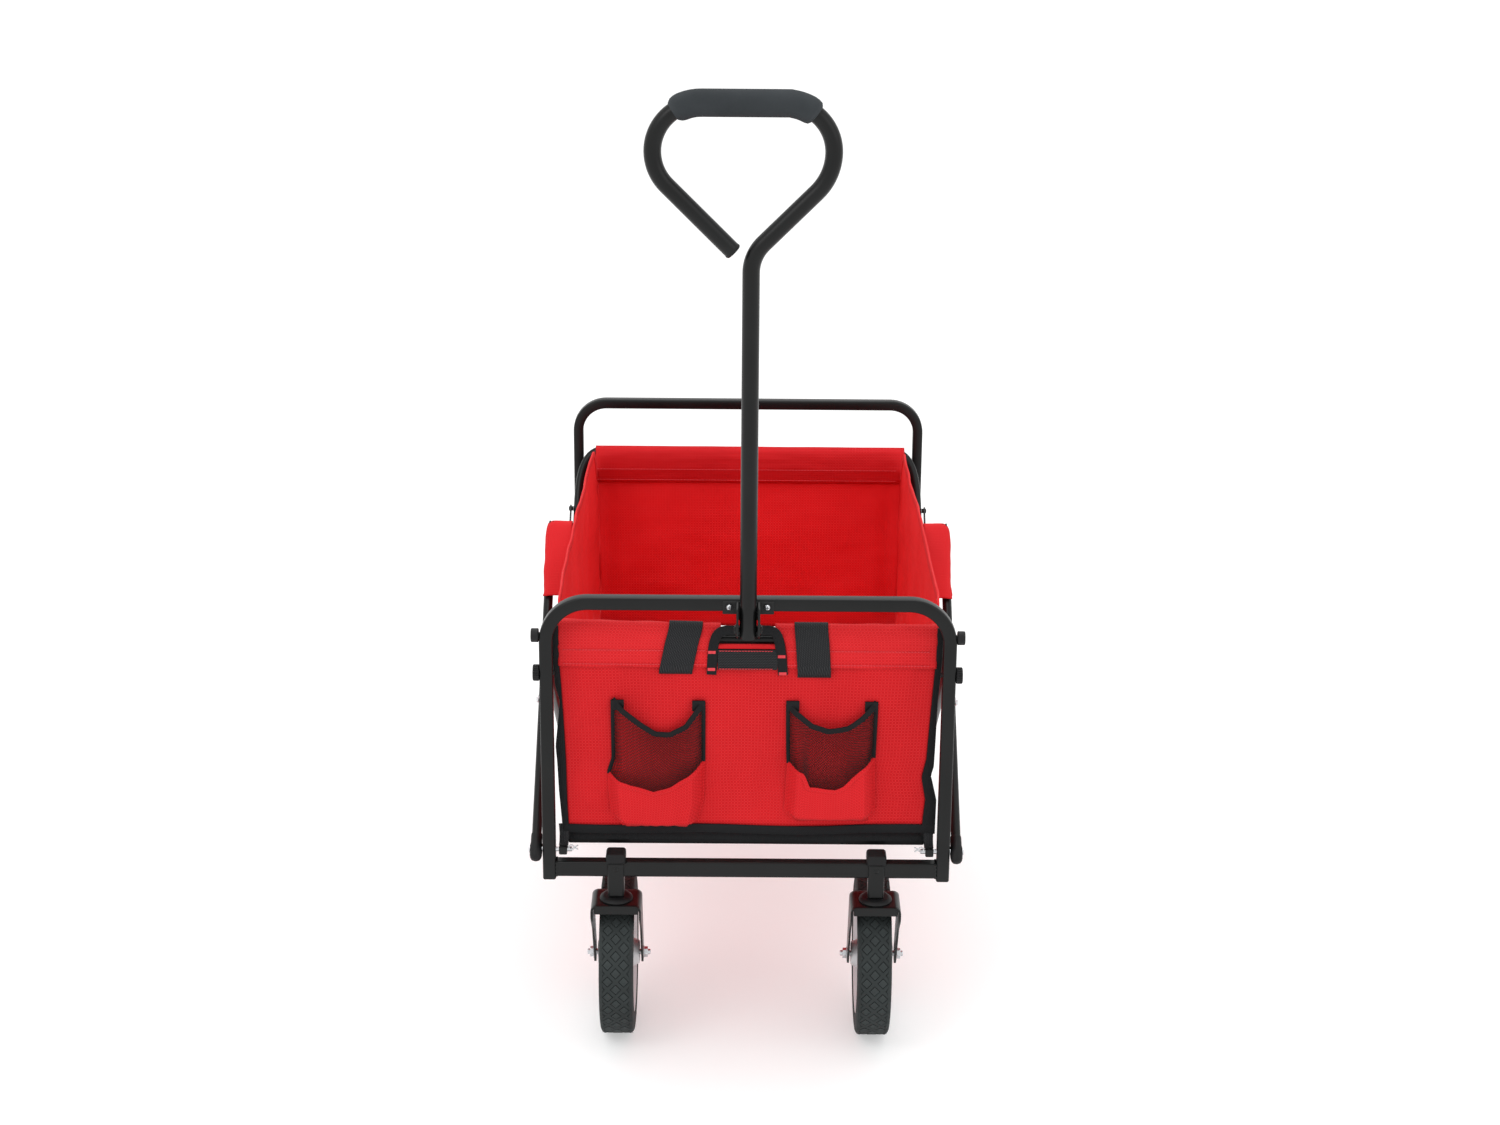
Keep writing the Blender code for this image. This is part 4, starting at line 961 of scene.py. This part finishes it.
for label, side in SIDES:
    brace(label, side, rear=False)
    brace(label, side, rear=True)
rim_hoop("rim_front", "front_rim_hoop", "front_rim", rear=False)
rim_hoop("rim_rear", "rear_rim_hoop", "rear_rim", rear=True)

PLAIN_NODES = {
    "black_paint": ("guide_strap_left", "guide_strap_right"),
    "zinc": tuple(name + "_" + label for label, _ in SIDES for name in
                  ("front_pivot_pin", "rear_pivot_pin", "top_pin", "cross_bolt_front", "cross_bolt_rear")),
}
for slot_name, names in PLAIN_NODES.items():
    for name in names:
        NODES[name].data.materials[0] = MATERIALS[slot_name]


# ---------------------------------------------------------------- floor
FLOOR_X = 0.224
FLOOR_HALF = 0.005
MAT_RISE = 0.0130               # the padded mats are thicker than the CAD slabs and fill the tub
MAT_HALF = 0.2212
MAT_BINDING = 0.011


def floor_part(label, rear):
    end = "rear" if rear else "front"

    def span(a, b):
        return (LENGTH - b, LENGTH - a) if rear else (a, b)

    low, high = PIVOT_Z - FLOOR_HALF, PIVOT_Z + FLOOR_HALF
    bm = bmesh.new()
    for side in (-1, 1):
        a, b = span(0.0045 if rear else -0.0070, MIDDLE - 0.0150)
        box(bm, (side * FLOOR_X - FLOOR_HALF, a, low), (side * FLOOR_X + FLOOR_HALF, b, high))
        lug = sorted(side * x for x in ((0.2288, 0.2318) if rear else (0.2158, 0.2192)))
        a, b = span(MIDDLE - 0.0350, MIDDLE + 0.0045)
        box(bm, (lug[0], a, low + 0.0006), (lug[1], b, high - 0.0006))
    for center in (0.0320, MIDDLE - 0.0210):
        a, b = span(center - FLOOR_HALF, center + FLOOR_HALF)
        box(bm, (-FLOOR_X + FLOOR_HALF, a, low), (FLOOR_X - FLOOR_HALF, b, high))
    bevel(finish("floor_tubes_" + end, bm, "floor_" + end, "black_paint",
                 ("floor_frame_" + end,)), 0.0015)
    if not rear:
        studs = bmesh.new()
        for side in (-1, 1):
            lathe(studs, [(0.2165, 0.0025), (0.2322, 0.0025)], at(0, MIDDLE, PIVOT_Z), (side, 0, 0), 24)
        finish("floor_studs", studs, "floor_front", "zinc")

    y0, y1 = span(0.0165, MIDDLE - 0.0010)
    mat_low = at(-MAT_HALF, y0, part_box("floor_mat_" + end)[0][2])
    mat_high = at(MAT_HALF, y1, 0)
    size_x, size_y = 2 * MAT_HALF, y1 - y0
    rise = MAT_RISE

    def place(u, v):
        edge = min(u, 1 - u) * size_x, min(v, 1 - v) * size_y
        inward = min(min(edge) / 0.014, 1.0)
        roll = math.sqrt(max(0.0, 1 - (1 - inward) ** 2))
        seam = min(abs(u - 1 / 3), abs(u - 2 / 3)) * size_x
        dent = 0.0035 * math.exp(-(seam / 0.010) ** 2)
        z = mat_low[2] + rise * (0.35 + 0.65 * roll) - dent * roll
        z += ruffle(u * size_x, v * size_y, 0.05, 0.0008, 3.0)
        return Vector((mat_low[0] + u * size_x, mat_low[1] + v * size_y, z))

    mat = bmesh.new()
    grid(mat, place, 72, 54, size_x, size_y)
    edges = [edge for edge in mat.edges if edge.is_boundary]
    made = bmesh.ops.extrude_edge_only(mat, edges=edges)["geom"]
    for vert in made:
        if isinstance(vert, bmesh.types.BMVert):
            vert.co.z = mat_low[2]
    bmesh.ops.contextual_create(mat, geom=[item for item in made if isinstance(item, bmesh.types.BMEdge)])
    obj = finish("mat_" + end, mat, "floor_" + end, "red_lining", ("floor_mat_" + end,),
                 smooth=60)
    obj.data.materials.append(MATERIALS["binding"])
    for face in obj.data.polygons:
        x, y = face.center.x, face.center.y
        inside = min(x - mat_low[0], mat_high[0] - x, y - mat_low[1], mat_high[1] - y)
        if inside < MAT_BINDING:
            face.material_index = 1


floor_part("front", False)
floor_part("rear", True)


# ---------------------------------------------------------------- front panel
PANEL_Y = 0.0145
PANEL_LOW = 0.2925
BAND_LOW = 0.5097
SLEEVE_TOP = 0.5660
LEFT_EDGE = ((0.292, -0.2185), (0.303, -0.2190), (0.332, -0.2202), (0.385, -0.2210), (0.438, -0.2232),
             (0.477, -0.2252), (0.509, -0.2272), (0.567, -0.2280))
RIGHT_EDGE = ((0.292, 0.2160), (0.306, 0.2165), (0.336, 0.2192), (0.365, 0.2140), (0.389, 0.2190),
              (0.468, 0.2235), (0.513, 0.2265), (0.567, 0.2278))
LEFT_OUTER = ((0.291, -0.2236), (0.345, -0.2277), (0.385, -0.2295), (0.404, -0.2310), (0.424, -0.2289),
              (0.4635, -0.2250), (0.483, -0.2304), (0.509, -0.2325), (0.541, -0.2325))
RIGHT_OUTER = ((0.297, 0.2299), (0.335, 0.2305), (0.368, 0.2229), (0.381, 0.2262), (0.421, 0.2274),
               (0.467, 0.2284), (0.512, 0.2318), (0.545, 0.2325))


def panel_y(x, z):
    """How the front panel lies: nearly flat, with soft folds that run to its lower corners."""
    low = 1 - smoothstep(0.30, 0.46, z)
    corner = smoothstep(0.10, 0.21, abs(x)) * low
    edge = smoothstep(0.006, 0.030, z - PANEL_LOW) * smoothstep(0.0, 0.025, 0.222 - abs(x))
    fold = 0.0030 * math.sin((abs(x) * 0.8 + z * 0.6) / 0.016) * corner
    wave = ruffle(x, z, 0.07, 0.0044, 1.0) + ruffle(x, z * 0.35, 0.024, 0.0022, 5.0)
    return PANEL_Y + max(fold + wave, -0.0016) * edge


def lower_panel(u, v):
    z = PANEL_LOW + (BAND_LOW + 0.003 - PANEL_LOW) * v
    left, right = lookup(LEFT_EDGE, z), lookup(RIGHT_EDGE, z)
    x = left + (right - left) * u
    return at(x, panel_y(x, z), z)


panel = sheet_piece("front_panel", lower_panel, 120, 60, 0.44, 0.22, "front_cloth", "red_cloth",
                    ("fabric_front",))

SLEEVE = ((0.0125, BAND_LOW - 0.0015), (0.0100, BAND_LOW - 0.0005), (0.0094, 0.5108), (0.0102, 0.5130),
          (0.0112, 0.5180), (0.0118, 0.5320), (0.0122, 0.5480), (0.0145, 0.5580),
          (0.0180, 0.5640), (0.0225, SLEEVE_TOP), (0.0270, 0.5640), (0.0302, 0.5570), (0.0315, 0.5450),
          (0.0308, 0.5300), (0.0285, 0.5180), (0.0250, 0.5110))


def along_profile(profile, t, out=0.0):
    """A point (y, z) at share t of a profile's length, pushed outwards by out."""
    lengths = [math.dist(a, b) for a, b in zip(profile, profile[1:])]
    distance = t * sum(lengths)
    for (a, b), length in zip(zip(profile, profile[1:]), lengths):
        if distance <= length or b == profile[-1]:
            share = min(1.0, distance / length)
            y, z = a[0] + (b[0] - a[0]) * share, a[1] + (b[1] - a[1]) * share
            ty, tz = (b[0] - a[0]) / length, (b[1] - a[1]) / length
            return y - tz * out, z + ty * out
        distance -= length
    return profile[-1]


SAG = ((-0.225, 0.0012), (-0.150, 0.0030), (-0.048, 0.0055), (0.225, 0.0055))


def sag(x, z):
    """How far the sleeve's top hangs below its profile, read across the wagon."""
    return lookup(SAG, x) * smoothstep(0.538, 0.562, z)


NOTCH = ((0.502, 0.0490), (0.531, 0.0470), (0.546, 0.0435), (0.554, 0.0400), (0.560, 0.0345))
SLEEVE_LENGTH = sum(math.dist(a, b) for a, b in zip(SLEEVE, SLEEVE[1:]))


def sleeve_place(side):
    def place(u, v):
        y, z = along_profile(SLEEVE, v)
        outer = lookup(LEFT_EDGE, z) if side < 0 else lookup(RIGHT_EDGE, z)
        inner = side * (lookup(NOTCH, z) - 0.002)
        x = outer + (inner - outer) * u
        lift = ruffle(x, v, 0.035, 0.0012, 2.0 + side)
        y, z = along_profile(SLEEVE, v, lift)
        return at(x, y, z - sag(x, z))
    return place


for label, side in SIDES:
    sleeve = sheet_piece("front_sleeve_" + label, sleeve_place(side), 60, 40, 0.18, SLEEVE_LENGTH,
                         "front_cloth", "sleeve")


def notch():
    """The opening in the sleeve at the middle, bound in black, with the rim tube in it and a black sheet of
    painted shade in its recess.
    """
    outline = [(-0.0434, 0.500), (-0.0428, 0.515), (-0.0420, 0.530), (-0.0398, 0.543), (-0.0355, 0.5525),
               (-0.0280, 0.5566), (-0.0150, 0.5570), (0.0, 0.5570), (0.0150, 0.5570), (0.0280, 0.5566),
               (0.0340, 0.5520), (0.0372, 0.5430), (0.0394, 0.5300), (0.0412, 0.515), (0.0424, 0.500)]
    path = resample([at(x, 0.0090, z) for x, z in outline], 0.002)
    ribbon("notch_binding", path, 0.0120, 0.0022, "front_cloth", "binding", (0, 1, 0), wobble=0.15)

    # A black sheet set in the recess behind the notch: painted shade where the recess is only in shadow.
    def recess(u, v):
        x = -0.046 + 0.092 * u
        y, z = along_profile(((0.0210, 0.5530), (0.0285, 0.5510), (0.0312, 0.5430), (0.0310, 0.5050)), v)
        return at(x, y, z)

    back = sheet_piece("notch_painted_shade", recess, 20, 12, 0.09, 0.07, "front_cloth", "binding")
    strip = bmesh.new()
    box(strip, (-0.0360, 0.0098, 0.5325), (0.0355, 0.0150, 0.5375))
    bevel(finish("notch_red_edge", strip, "front_cloth", "sleeve"), 0.0009)
    ribbon("notch_webbing", straight(at(-0.0360, 0.0094, 0.5192), at(0.0355, 0.0094, 0.5192), 30), 0.0260,
           0.0024, "front_cloth", "webbing", (0, 1, 0))


notch()


def stitches(name, start, end, length, gap, body, material="red_thread", radius=0.00048, out=(0, -1, 0)):
    """A row of short raised stitches between two points."""
    bm = bmesh.new()
    span = end - start
    count = max(1, int(span.length / (length + gap)))
    direction = span.normalized()
    normal = Vector(out)
    for i in range(count):
        first = start + direction * (i * (length + gap))
        path = []
        for step in range(5):
            t = step / 4
            path.append(first + direction * (length * t) + normal * (radius * 1.6 * math.sin(math.pi * t)))
        sweep(bm, path, lambda k: circle(radius, 6),
              normal=(1, 0, 0) if abs(direction.x) < 0.9 else (0, 0, 1))
    return finish(name, bm, body, material)


for label, z in (("top", 0.5308), ("low", 0.5078)):
    stitches("notch_stitch_" + label, at(-0.0340, 0.0080, z), at(0.0335, 0.0080, z), 0.0022, 0.0012,
             "front_cloth")
for label, x, z in (("a", -0.0431, 0.529), ("b", -0.0436, 0.507), ("c", 0.0405, 0.524), ("d", 0.0420, 0.502)):
    bm = bmesh.new()
    for k in range(9):
        height = z + 0.0004 * (k - 4)
        across = straight(at(x - 0.0045, 0.0076, height), at(x + 0.0045, 0.0076, height), 2)
        sweep(bm, across, lambda i: circle(0.0003, 6), normal=(0, 0, 1))
    finish("bartack_" + label, bm, "front_cloth", "red_thread")

for label, left, right in (("left", -0.2215, -0.0480), ("right", 0.0475, 0.2220)):
    for row, y, z in (("low", 0.0090, BAND_LOW + 0.0030), ("high", 0.0108, 0.5300)):
        stitches("sleeve_stitch_" + row + "_" + label, at(left, y, z), at(right, y, z), 0.0026, 0.0012,
                 "front_cloth")


# ---------------------------------------------------------------- bindings round the front panel
def edge_path(red, outer, z0, z1):
    """The middle of a binding between the red edge and the outer edge."""
    path = []
    steps = 60
    for i in range(steps + 1):
        z = z0 + (z1 - z0) * i / steps
        x = (lookup(red, z) + lookup(outer, z)) / 2
        path.append(at(x, 0.0122 + ruffle(z, 0.0, 0.03, 0.0010, 4.0), z))
    return path


def side_binding(label, red, outer):
    path = edge_path(red, outer, 0.2905, 0.5600)
    bm = bmesh.new()

    def section(i):
        z = path[i].z
        half = abs(lookup(red, z) - lookup(outer, z)) / 2 + 0.0012
        return rounded_rectangle(0.0016, half, 0.0012, 2)

    sweep(bm, path, section)
    obj = finish("side_binding_" + label, bm, "front_cloth", "binding")


side_binding("left", LEFT_EDGE, LEFT_OUTER)
side_binding("right", RIGHT_EDGE, RIGHT_OUTER)
hem_path = [at(-0.2236 + 0.4535 * i / 60, PANEL_Y - 0.0026 + ruffle(i * 0.01, 0.0, 0.05, 0.0010, 7.0),
               0.2948 + 0.0018 * smoothstep(40, 60, i) - 0.0012 * math.sin(i * 0.21)) for i in range(61)]
ribbon("bottom_binding", hem_path, 0.0112, 0.0030, "front_cloth", "binding", (0, 1, 0), wobble=0.2)


def corner_loops():
    """Webbing loops that hold the panel's lower corners on the floor frame's ends."""
    for label, side in SIDES:
        x = side * 0.2232
        path = [at(x + side * 0.001, 0.0140, 0.3000), at(x, 0.0105, 0.2880), at(x, 0.0040, 0.2800),
                at(x, -0.0035, 0.2788)]
        ribbon("corner_loop_" + label, resample(path, 0.002), 0.0115, 0.0018, "front_cloth", "webbing",
               (0, 1, 0), wobble=0.1)


corner_loops()


def over_straps():
    """Two broad webbing straps laid over the sleeve."""
    plans = (("left", -0.0741, -0.0866, 0.0065), ("right", 0.0757, 0.0799, 0.0102))
    for label, top_x, low_x, hem in plans:
        def place(u, v, top_x=top_x, low_x=low_x, hem=hem):
            y, z = along_profile(SLEEVE, 0.0 + 0.98 * v, 0.0018)
            if v < 0.04:
                z -= hem * (1 - v / 0.04)
            share = min(1.0, max(0.0, (z - 0.503) / 0.062))
            x = low_x + (top_x - low_x) * share + (u - 0.5) * 0.0402
            return at(x, y - 0.0006, z - sag(x, z))
        strap = sheet_piece("strap_" + label, place, 16, 50, 0.040, SLEEVE_LENGTH, "front_cloth", "webbing",
                            thickness=0.0016)


over_straps()


# ---------------------------------------------------------------- net pockets
POCKETS = {
    "left": {
        "left": ((0.304, -0.1520), (0.316, -0.1641), (0.350, -0.1674), (0.371, -0.1678), (0.3895, -0.1622),
                 (0.467, -0.1628)),
        "right": ((0.304, -0.0690), (0.308, -0.0604), (0.337, -0.0531), (0.386, -0.0527), (0.4625, -0.0527)),
        "low": 0.2985,
        "net": ((0.0, 0.4660), (0.10, 0.4540), (0.30, 0.4360), (0.47, 0.4232), (0.64, 0.4228), (0.81, 0.4335),
                (0.94, 0.4545), (1.0, 0.4620)),
        "pouch": ((0.0, 0.3690), (0.22, 0.3590), (0.48, 0.3500), (0.66, 0.3565), (0.85, 0.3710),
                  (1.0, 0.3860)),
    },
    "right": {
        "left": ((0.310, 0.0570), (0.322, 0.0469), (0.338, 0.0479), (0.3845, 0.0503), (0.404, 0.0495),
                 (0.466, 0.0487)),
        "right": ((0.310, 0.1480), (0.323, 0.1554), (0.392, 0.1538), (0.464, 0.1557)),
        "low": 0.3075,
        "net": ((0.0, 0.4600), (0.10, 0.4510), (0.27, 0.4356), (0.47, 0.4280), (0.69, 0.4320), (0.85, 0.4450),
                (1.0, 0.4636)),
        "pouch": ((0.0, 0.3845), (0.17, 0.3760), (0.24, 0.3580), (0.55, 0.3540), (0.66, 0.3595),
                  (0.84, 0.3795), (1.0, 0.3920)),
    },
}
POCKET_DEPTH = 0.0190


def pocket_depth(a, z, low, top):
    """How far the pocket stands off the panel."""
    across = min(1.0, math.sin(math.pi * min(1.0, max(0.0, a))) * 2.8) ** 0.7
    height = (z - low) / (top - low)
    upward = smoothstep(-0.01, 0.09, height) * (1 - 0.62 * smoothstep(0.55, 1.0, height))
    return 0.0012 + POCKET_DEPTH * across * upward


def net_mesh(place, columns, rows):
    """A net of diamond cells as faces, to be turned into threads."""
    bm = bmesh.new()
    verts = {}

    def vert(i, j):
        if (i, j) not in verts:
            verts[i, j] = bm.verts.new(place(i / columns, j / rows))
        return verts[i, j]

    for i in range(1, columns):
        for j in range(rows - 1):
            if (i + j) % 2 == 0:
                bm.faces.new((vert(i, j), vert(i + 1, j + 1), vert(i, j + 2), vert(i - 1, j + 1)))
    return bm


def pocket(label):
    plan = POCKETS[label]
    low = plan["low"]

    def surface(a, z):
        left, right = lookup(plan["left"], z), lookup(plan["right"], z)
        top = lookup(plan["net"], a)
        pleat = 0.0014 * math.sin(a * 46) * (1 - smoothstep(0.0, 0.16, min(a, 1 - a)))
        y = PANEL_Y - 0.0016 - pocket_depth(a, z, low, top) + pleat + ruffle(a, z, 0.09, 0.0018, 6.0)
        return at(left + (right - left) * a, min(y, PANEL_Y - 0.0010), z)

    def pouch(u, v):
        return surface(u, low + (lookup(plan["pouch"], u) - low) * v)

    def netting(u, v):
        bottom = lookup(plan["pouch"], u) - 0.002
        return surface(u, bottom + (lookup(plan["net"], u) - bottom) * v)

    cloth = sheet_piece("pocket_pouch_" + label, pouch, 60, 30, 0.135, 0.07, "front_cloth", "red_cloth",
                        ("pocket_" + label,))
    net = finish("pocket_net_" + label, net_mesh(netting, 62, 46), "front_cloth", "net")
    wire = net.modifiers.new("threads", "WIREFRAME")
    wire.thickness = 0.00085
    wire.use_even_offset = False
    steps = 44
    edge = [netting(i / steps, 1.0) for i in range(steps + 1)]
    ribbon("pocket_edge_" + label, edge, 0.0070, 0.0024, "front_cloth", "binding", (0, 1, 0))
    hem = [pouch(i / steps, 1.0) + Vector((0, -0.0008, 0)) for i in range(steps + 1)]
    ribbon("pocket_hem_" + label, hem, 0.0052, 0.0018, "front_cloth", "red_cloth", (0, 1, 0))
    tabs = bmesh.new()
    for x, z in ((plan["left"][-1][1] + 0.006, 0.4590), (plan["right"][-1][1] - 0.006, 0.4585)):
        box(tabs, (x - 0.0080, 0.0088, z - 0.0068), (x + 0.0080, 0.0118, z + 0.0068))
    bevel(finish("pocket_tabs_" + label, tabs, "front_cloth", "webbing"), 0.0009)
    for key, share in (("left", 0.0), ("right", 1.0)):
        bottom, middle, top = low + 0.004, lookup(plan["pouch"], share), lookup(plan["net"], share) - 0.004
        for part, z0, z1, width, material in (("net", middle, top, 0.0046, "binding"),
                                              ("pouch", bottom, middle, 0.0030, "red_cloth")):
            seam = []
            for i in range(25):
                z = z0 + (z1 - z0) * i / 24
                seam.append(at(lookup(plan[key], z), PANEL_Y - 0.0042, z))
            ribbon("_".join(("pocket", part, "seam", key, label)), seam, width, 0.0018, "front_cloth",
                   material, (0, 1, 0))


for label, _ in SIDES:
    pocket(label)


# ---------------------------------------------------------------- rear panel
REAR_PANEL_Y = LENGTH - 0.0145
REAR_HALF_TOP = 0.2165
REAR_HALF_LOW = 0.2130
REAR_SLEEVE = ((LENGTH - 0.0136, 0.5190), (LENGTH - 0.0118, 0.5350), (LENGTH - 0.0120, 0.5550),
               (LENGTH - 0.0150, 0.5646), (LENGTH - 0.0220, 0.5694), (LENGTH - 0.0290, 0.5654),
               (LENGTH - 0.0320, 0.5550), (LENGTH - 0.0315, 0.5380), (LENGTH - 0.0260, 0.5210),
               (LENGTH - 0.0180, 0.5140))


def rear_x(u, z):
    """Across the rear panel: a little wider at the top, and on the right."""
    half = REAR_HALF_LOW + (REAR_HALF_TOP - REAR_HALF_LOW) * smoothstep(0.30, 0.56, z)
    return (2 * u - 1) * half + 0.0060 * u


def rear_place(u, v):
    z = PANEL_LOW + (0.5200 - PANEL_LOW) * v
    x = rear_x(u, z)
    gather = 0.0018 * math.sin(abs(x) / 0.0075) * smoothstep(0.17, 0.205, abs(x))
    y = REAR_PANEL_Y + gather + ruffle(x, z, 0.07, 0.0036, 9.0) + ruffle(x * 0.4, z, 0.02, 0.0012, 11.0)
    return at(x, y, z)


def rear_sleeve_place(u, v):
    y, z = along_profile(REAR_SLEEVE, v)
    x = rear_x(u, z)
    return at(x, y + ruffle(x, v, 0.04, 0.0010, 12.0), z)


rear_panel = sheet_piece("rear_panel", rear_place, 100, 50, 0.44, 0.23, "rear_cloth", "red_lining",
                         ("fabric_rear",))
rear_length = sum(math.dist(a, b) for a, b in zip(REAR_SLEEVE, REAR_SLEEVE[1:]))
rear_sleeve = sheet_piece("rear_sleeve", rear_sleeve_place, 90, 36, 0.44, rear_length, "rear_cloth",
                          "red_cloth")
for label, z in (("top", 0.5380), ("low", 0.5225)):
    stitches("rear_stitch_" + label, at(-0.215, LENGTH - 0.0328, z), at(0.215, LENGTH - 0.0328, z),
             0.0030, 0.0014, "rear_cloth")


# ---------------------------------------------------------------- side panels and hoods
TOP_PLAN = {
    "left": ((0.0, 0.2265), (0.089, 0.2292), (0.193, 0.2307), (0.362, 0.2262), (0.600, 0.2215),
             (0.698, 0.2150)),
    "right": ((0.0, 0.2280), (0.099, 0.2318), (0.203, 0.2299), (0.360, 0.2278), (0.496, 0.2225),
              (0.708, 0.2183)),
}
SIDE_TOP = 0.5680


def side_top(y):
    """The rim's height, cut down at both ends where the rim tubes bend inwards."""
    front = 0.505 + (SIDE_TOP - 0.505) * smoothstep(0.038, 0.068, y)
    back = 0.527 + (SIDE_TOP - 0.527) * smoothstep(0.038, 0.066, LENGTH - y)
    sag = 0.0022 * math.sin(y * 21) * smoothstep(0.07, 0.12, y)
    return min(front, back) + sag


def side_panels():
    y0, y1 = 0.0165, LENGTH - 0.0165
    for label, side in SIDES:
        plan = TOP_PLAN[label]

        draw = 0.010 if side < 0 else 0.0055

        def place(u, v, side=side, plan=plan, draw=draw):
            y = y0 + (y1 - y0) * u
            z = PANEL_LOW + (side_top(y) - PANEL_LOW) * v
            top = lookup(plan, y)
            low = 0.2225 - draw * smoothstep(0.55, 0.70, y)
            x = low + (top - low) * smoothstep(0.1, 1.0, v)
            belly = 0.0026 * math.sin(math.pi * v) * math.sin(math.pi * u)
            fold = 0.0013 * math.sin(y / 0.011 + 3 * v) * (1 - smoothstep(0.0, 0.5, v))
            x += belly + fold + ruffle(y, z, 0.055, 0.0022, 20.0 + side)
            return at(side * min(x, 0.2325), y, z)

        obj = sheet_piece("side_panel_" + label, place, 150, 50, 0.69, 0.28, "side_cloth", "red_lining",
                          ("fabric_side_" + label,))
        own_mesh(obj)
        rim = [place(i / 90, 1.0) for i in range(91)]
        trim = ribbon("side_rim_" + label, rim, 0.0100, 0.0030, "side_cloth", "sleeve", (1, 0, 0),
                      wobble=0.25)
        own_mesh(trim)


side_panels()

HOOD_LOW = 0.5015
HOOD_OUTER = 0.2632
HOOD_INNER = 0.2300
HOOD_ROUND = 0.0085             # roof to side


def hoods():
    """Cloth hoods over the joints where two braces meet at the middle of the rim."""
    slope = math.tan(BRACE_ANGLE)
    lift = 0.0098 / COS
    peak = RIM_Z + lift
    for label, side in SIDES:
        foot = (peak - HOOD_LOW) / slope

        def ridge(t, foot=foot):
            """Height of the roof at share t of the hood's length, rounded at the peak."""
            off = abs(2 * t - 1) * foot
            round_off = 0.010
            if off < round_off:
                off = (off * off / round_off + round_off) / 2
            return peak - off * slope

        def place(u, v, side=side, foot=foot):
            y = MIDDLE + (2 * u - 1) * foot
            top = max(ridge(u), HOOD_LOW + 0.0004)
            roof = 0.45
            if v < roof:
                x = HOOD_INNER + (HOOD_OUTER - HOOD_ROUND - HOOD_INNER) * v / roof
                z = top
            elif v < roof + 0.15:
                angle = (v - roof) / 0.15 * math.pi / 2
                x = HOOD_OUTER - HOOD_ROUND * (1 - math.sin(angle))
                z = top - HOOD_ROUND * (1 - math.cos(angle))
            else:
                share = (v - roof - 0.15) / (0.85 - roof)
                x = HOOD_OUTER
                z = (top - HOOD_ROUND) + (HOOD_LOW - top + HOOD_ROUND) * share
            z = max(z, HOOD_LOW)
            wrinkle = ruffle(y, z, 0.022, 0.0022, 30.0 + side)
            return at(side * (x + wrinkle * smoothstep(0.3, 0.7, v)), y, z + ruffle(y, x, 0.02, 0.0009, 33.0))

        obj = sheet_piece("hood_" + label, place, 70, 34, 0.23, 0.11, "side_cloth", "red_cloth",
                          ("side_cover_" + label,), thickness=0.0014)


hoods()


# ---------------------------------------------------------------- split pins at the front pivots
def split_pins():
    wire = circle(0.0009, 10)
    for label, side in SIDES:
        x = side * 0.2165
        inward = -side
        bm = bmesh.new()
        ring = []
        for i in range(21):
            angle = 2 * math.pi * i / 20
            ring.append(at(x + inward * (0.0032 - 0.0030 * math.cos(angle)), PIN_RING_Y,
                           PIN_RING_Z + 0.0030 * math.sin(angle)))
        sweep(bm, ring, lambda i: wire, normal=(0, 1, 0), caps=False)
        for spread in (-1, 1):
            path = [at(x + inward * 0.0058, PIN_RING_Y, PIN_RING_Z + spread * 0.0012),
                    at(x + inward * 0.0085, PIN_RING_Y, PIN_RING_Z + spread * 0.0010),
                    at(x + inward * 0.0110, PIN_RING_Y, PIN_RING_Z + spread * 0.0030)]
            sweep(bm, resample(path, 0.0008), lambda i: wire, normal=(0, 1, 0))
        finish("split_pin_" + label, bm, "front_frame", "zinc")


split_pins()


# ---------------------------------------------------------------- studio
def studio():
    bpy.ops.mesh.primitive_plane_add(size=30, location=(0, 0, 0))
    floor = bpy.context.object
    floor.name = "studio_floor"
    pale = Shader("pale_floor", (0.62, 0.62, 0.62), 0.9)
    pale.main.inputs["Emission Color"].default_value = (1.0, 1.0, 1.0, 1.0)
    pale.main.inputs["Emission Strength"].default_value = 0.40
    floor.data.materials.append(pale.material)

    world = bpy.data.worlds.new("studio_world")
    world.use_nodes = True
    background = world.node_tree.nodes["Background"]
    background.inputs["Color"].default_value = (1.0, 1.0, 1.0, 1.0)
    background.inputs["Strength"].default_value = 1.08
    bpy.context.scene.world = world

    lamps = (("key", (-2.2, -2.6, 3.4), 2.0, 30), ("fill", (2.8, -2.2, 2.2), 2.4, 12),
             ("top", (0.0, 0.6, 3.6), 2.6, 40))
    for name, place, size, power in lamps:
        data = bpy.data.lights.new("light_" + name, "AREA")
        data.shape = "DISK"
        data.size = size
        data.energy = power
        lamp = bpy.data.objects.new("light_" + name, data)
        lamp.location = place
        aim = Vector((0, 0, 0.5)) - Vector(place)
        lamp.rotation_euler = aim.to_track_quat("-Z", "Y").to_euler()
        bpy.context.collection.objects.link(lamp)


def camera():
    """The photograph's viewpoint."""
    pitch, yaw, roll = math.radians(19.8252), math.radians(0.2127), math.radians(0.491)
    forward = Vector((math.sin(yaw) * math.cos(pitch), math.cos(yaw) * math.cos(pitch), -math.sin(pitch)))
    level = Vector((math.cos(yaw), -math.sin(yaw), 0))
    upward = level.cross(forward)
    right = level * math.cos(roll) + upward * math.sin(roll)
    up = upward * math.cos(roll) - level * math.sin(roll)
    data = bpy.data.cameras.new("photo_camera")
    data.lens = 67.2
    data.sensor_width = 36
    obj = bpy.data.objects.new("photo_camera", data)
    place = at(-0.00995, -3.1057, 1.7660)
    turn = Matrix((right, up, -forward)).transposed().to_4x4()
    obj.matrix_world = Matrix.Translation(place) @ turn
    bpy.context.collection.objects.link(obj)
    bpy.context.scene.camera = obj


studio()
camera()
bpy.context.scene.view_settings.view_transform = "Standard"

bpy.context.view_layer.update()
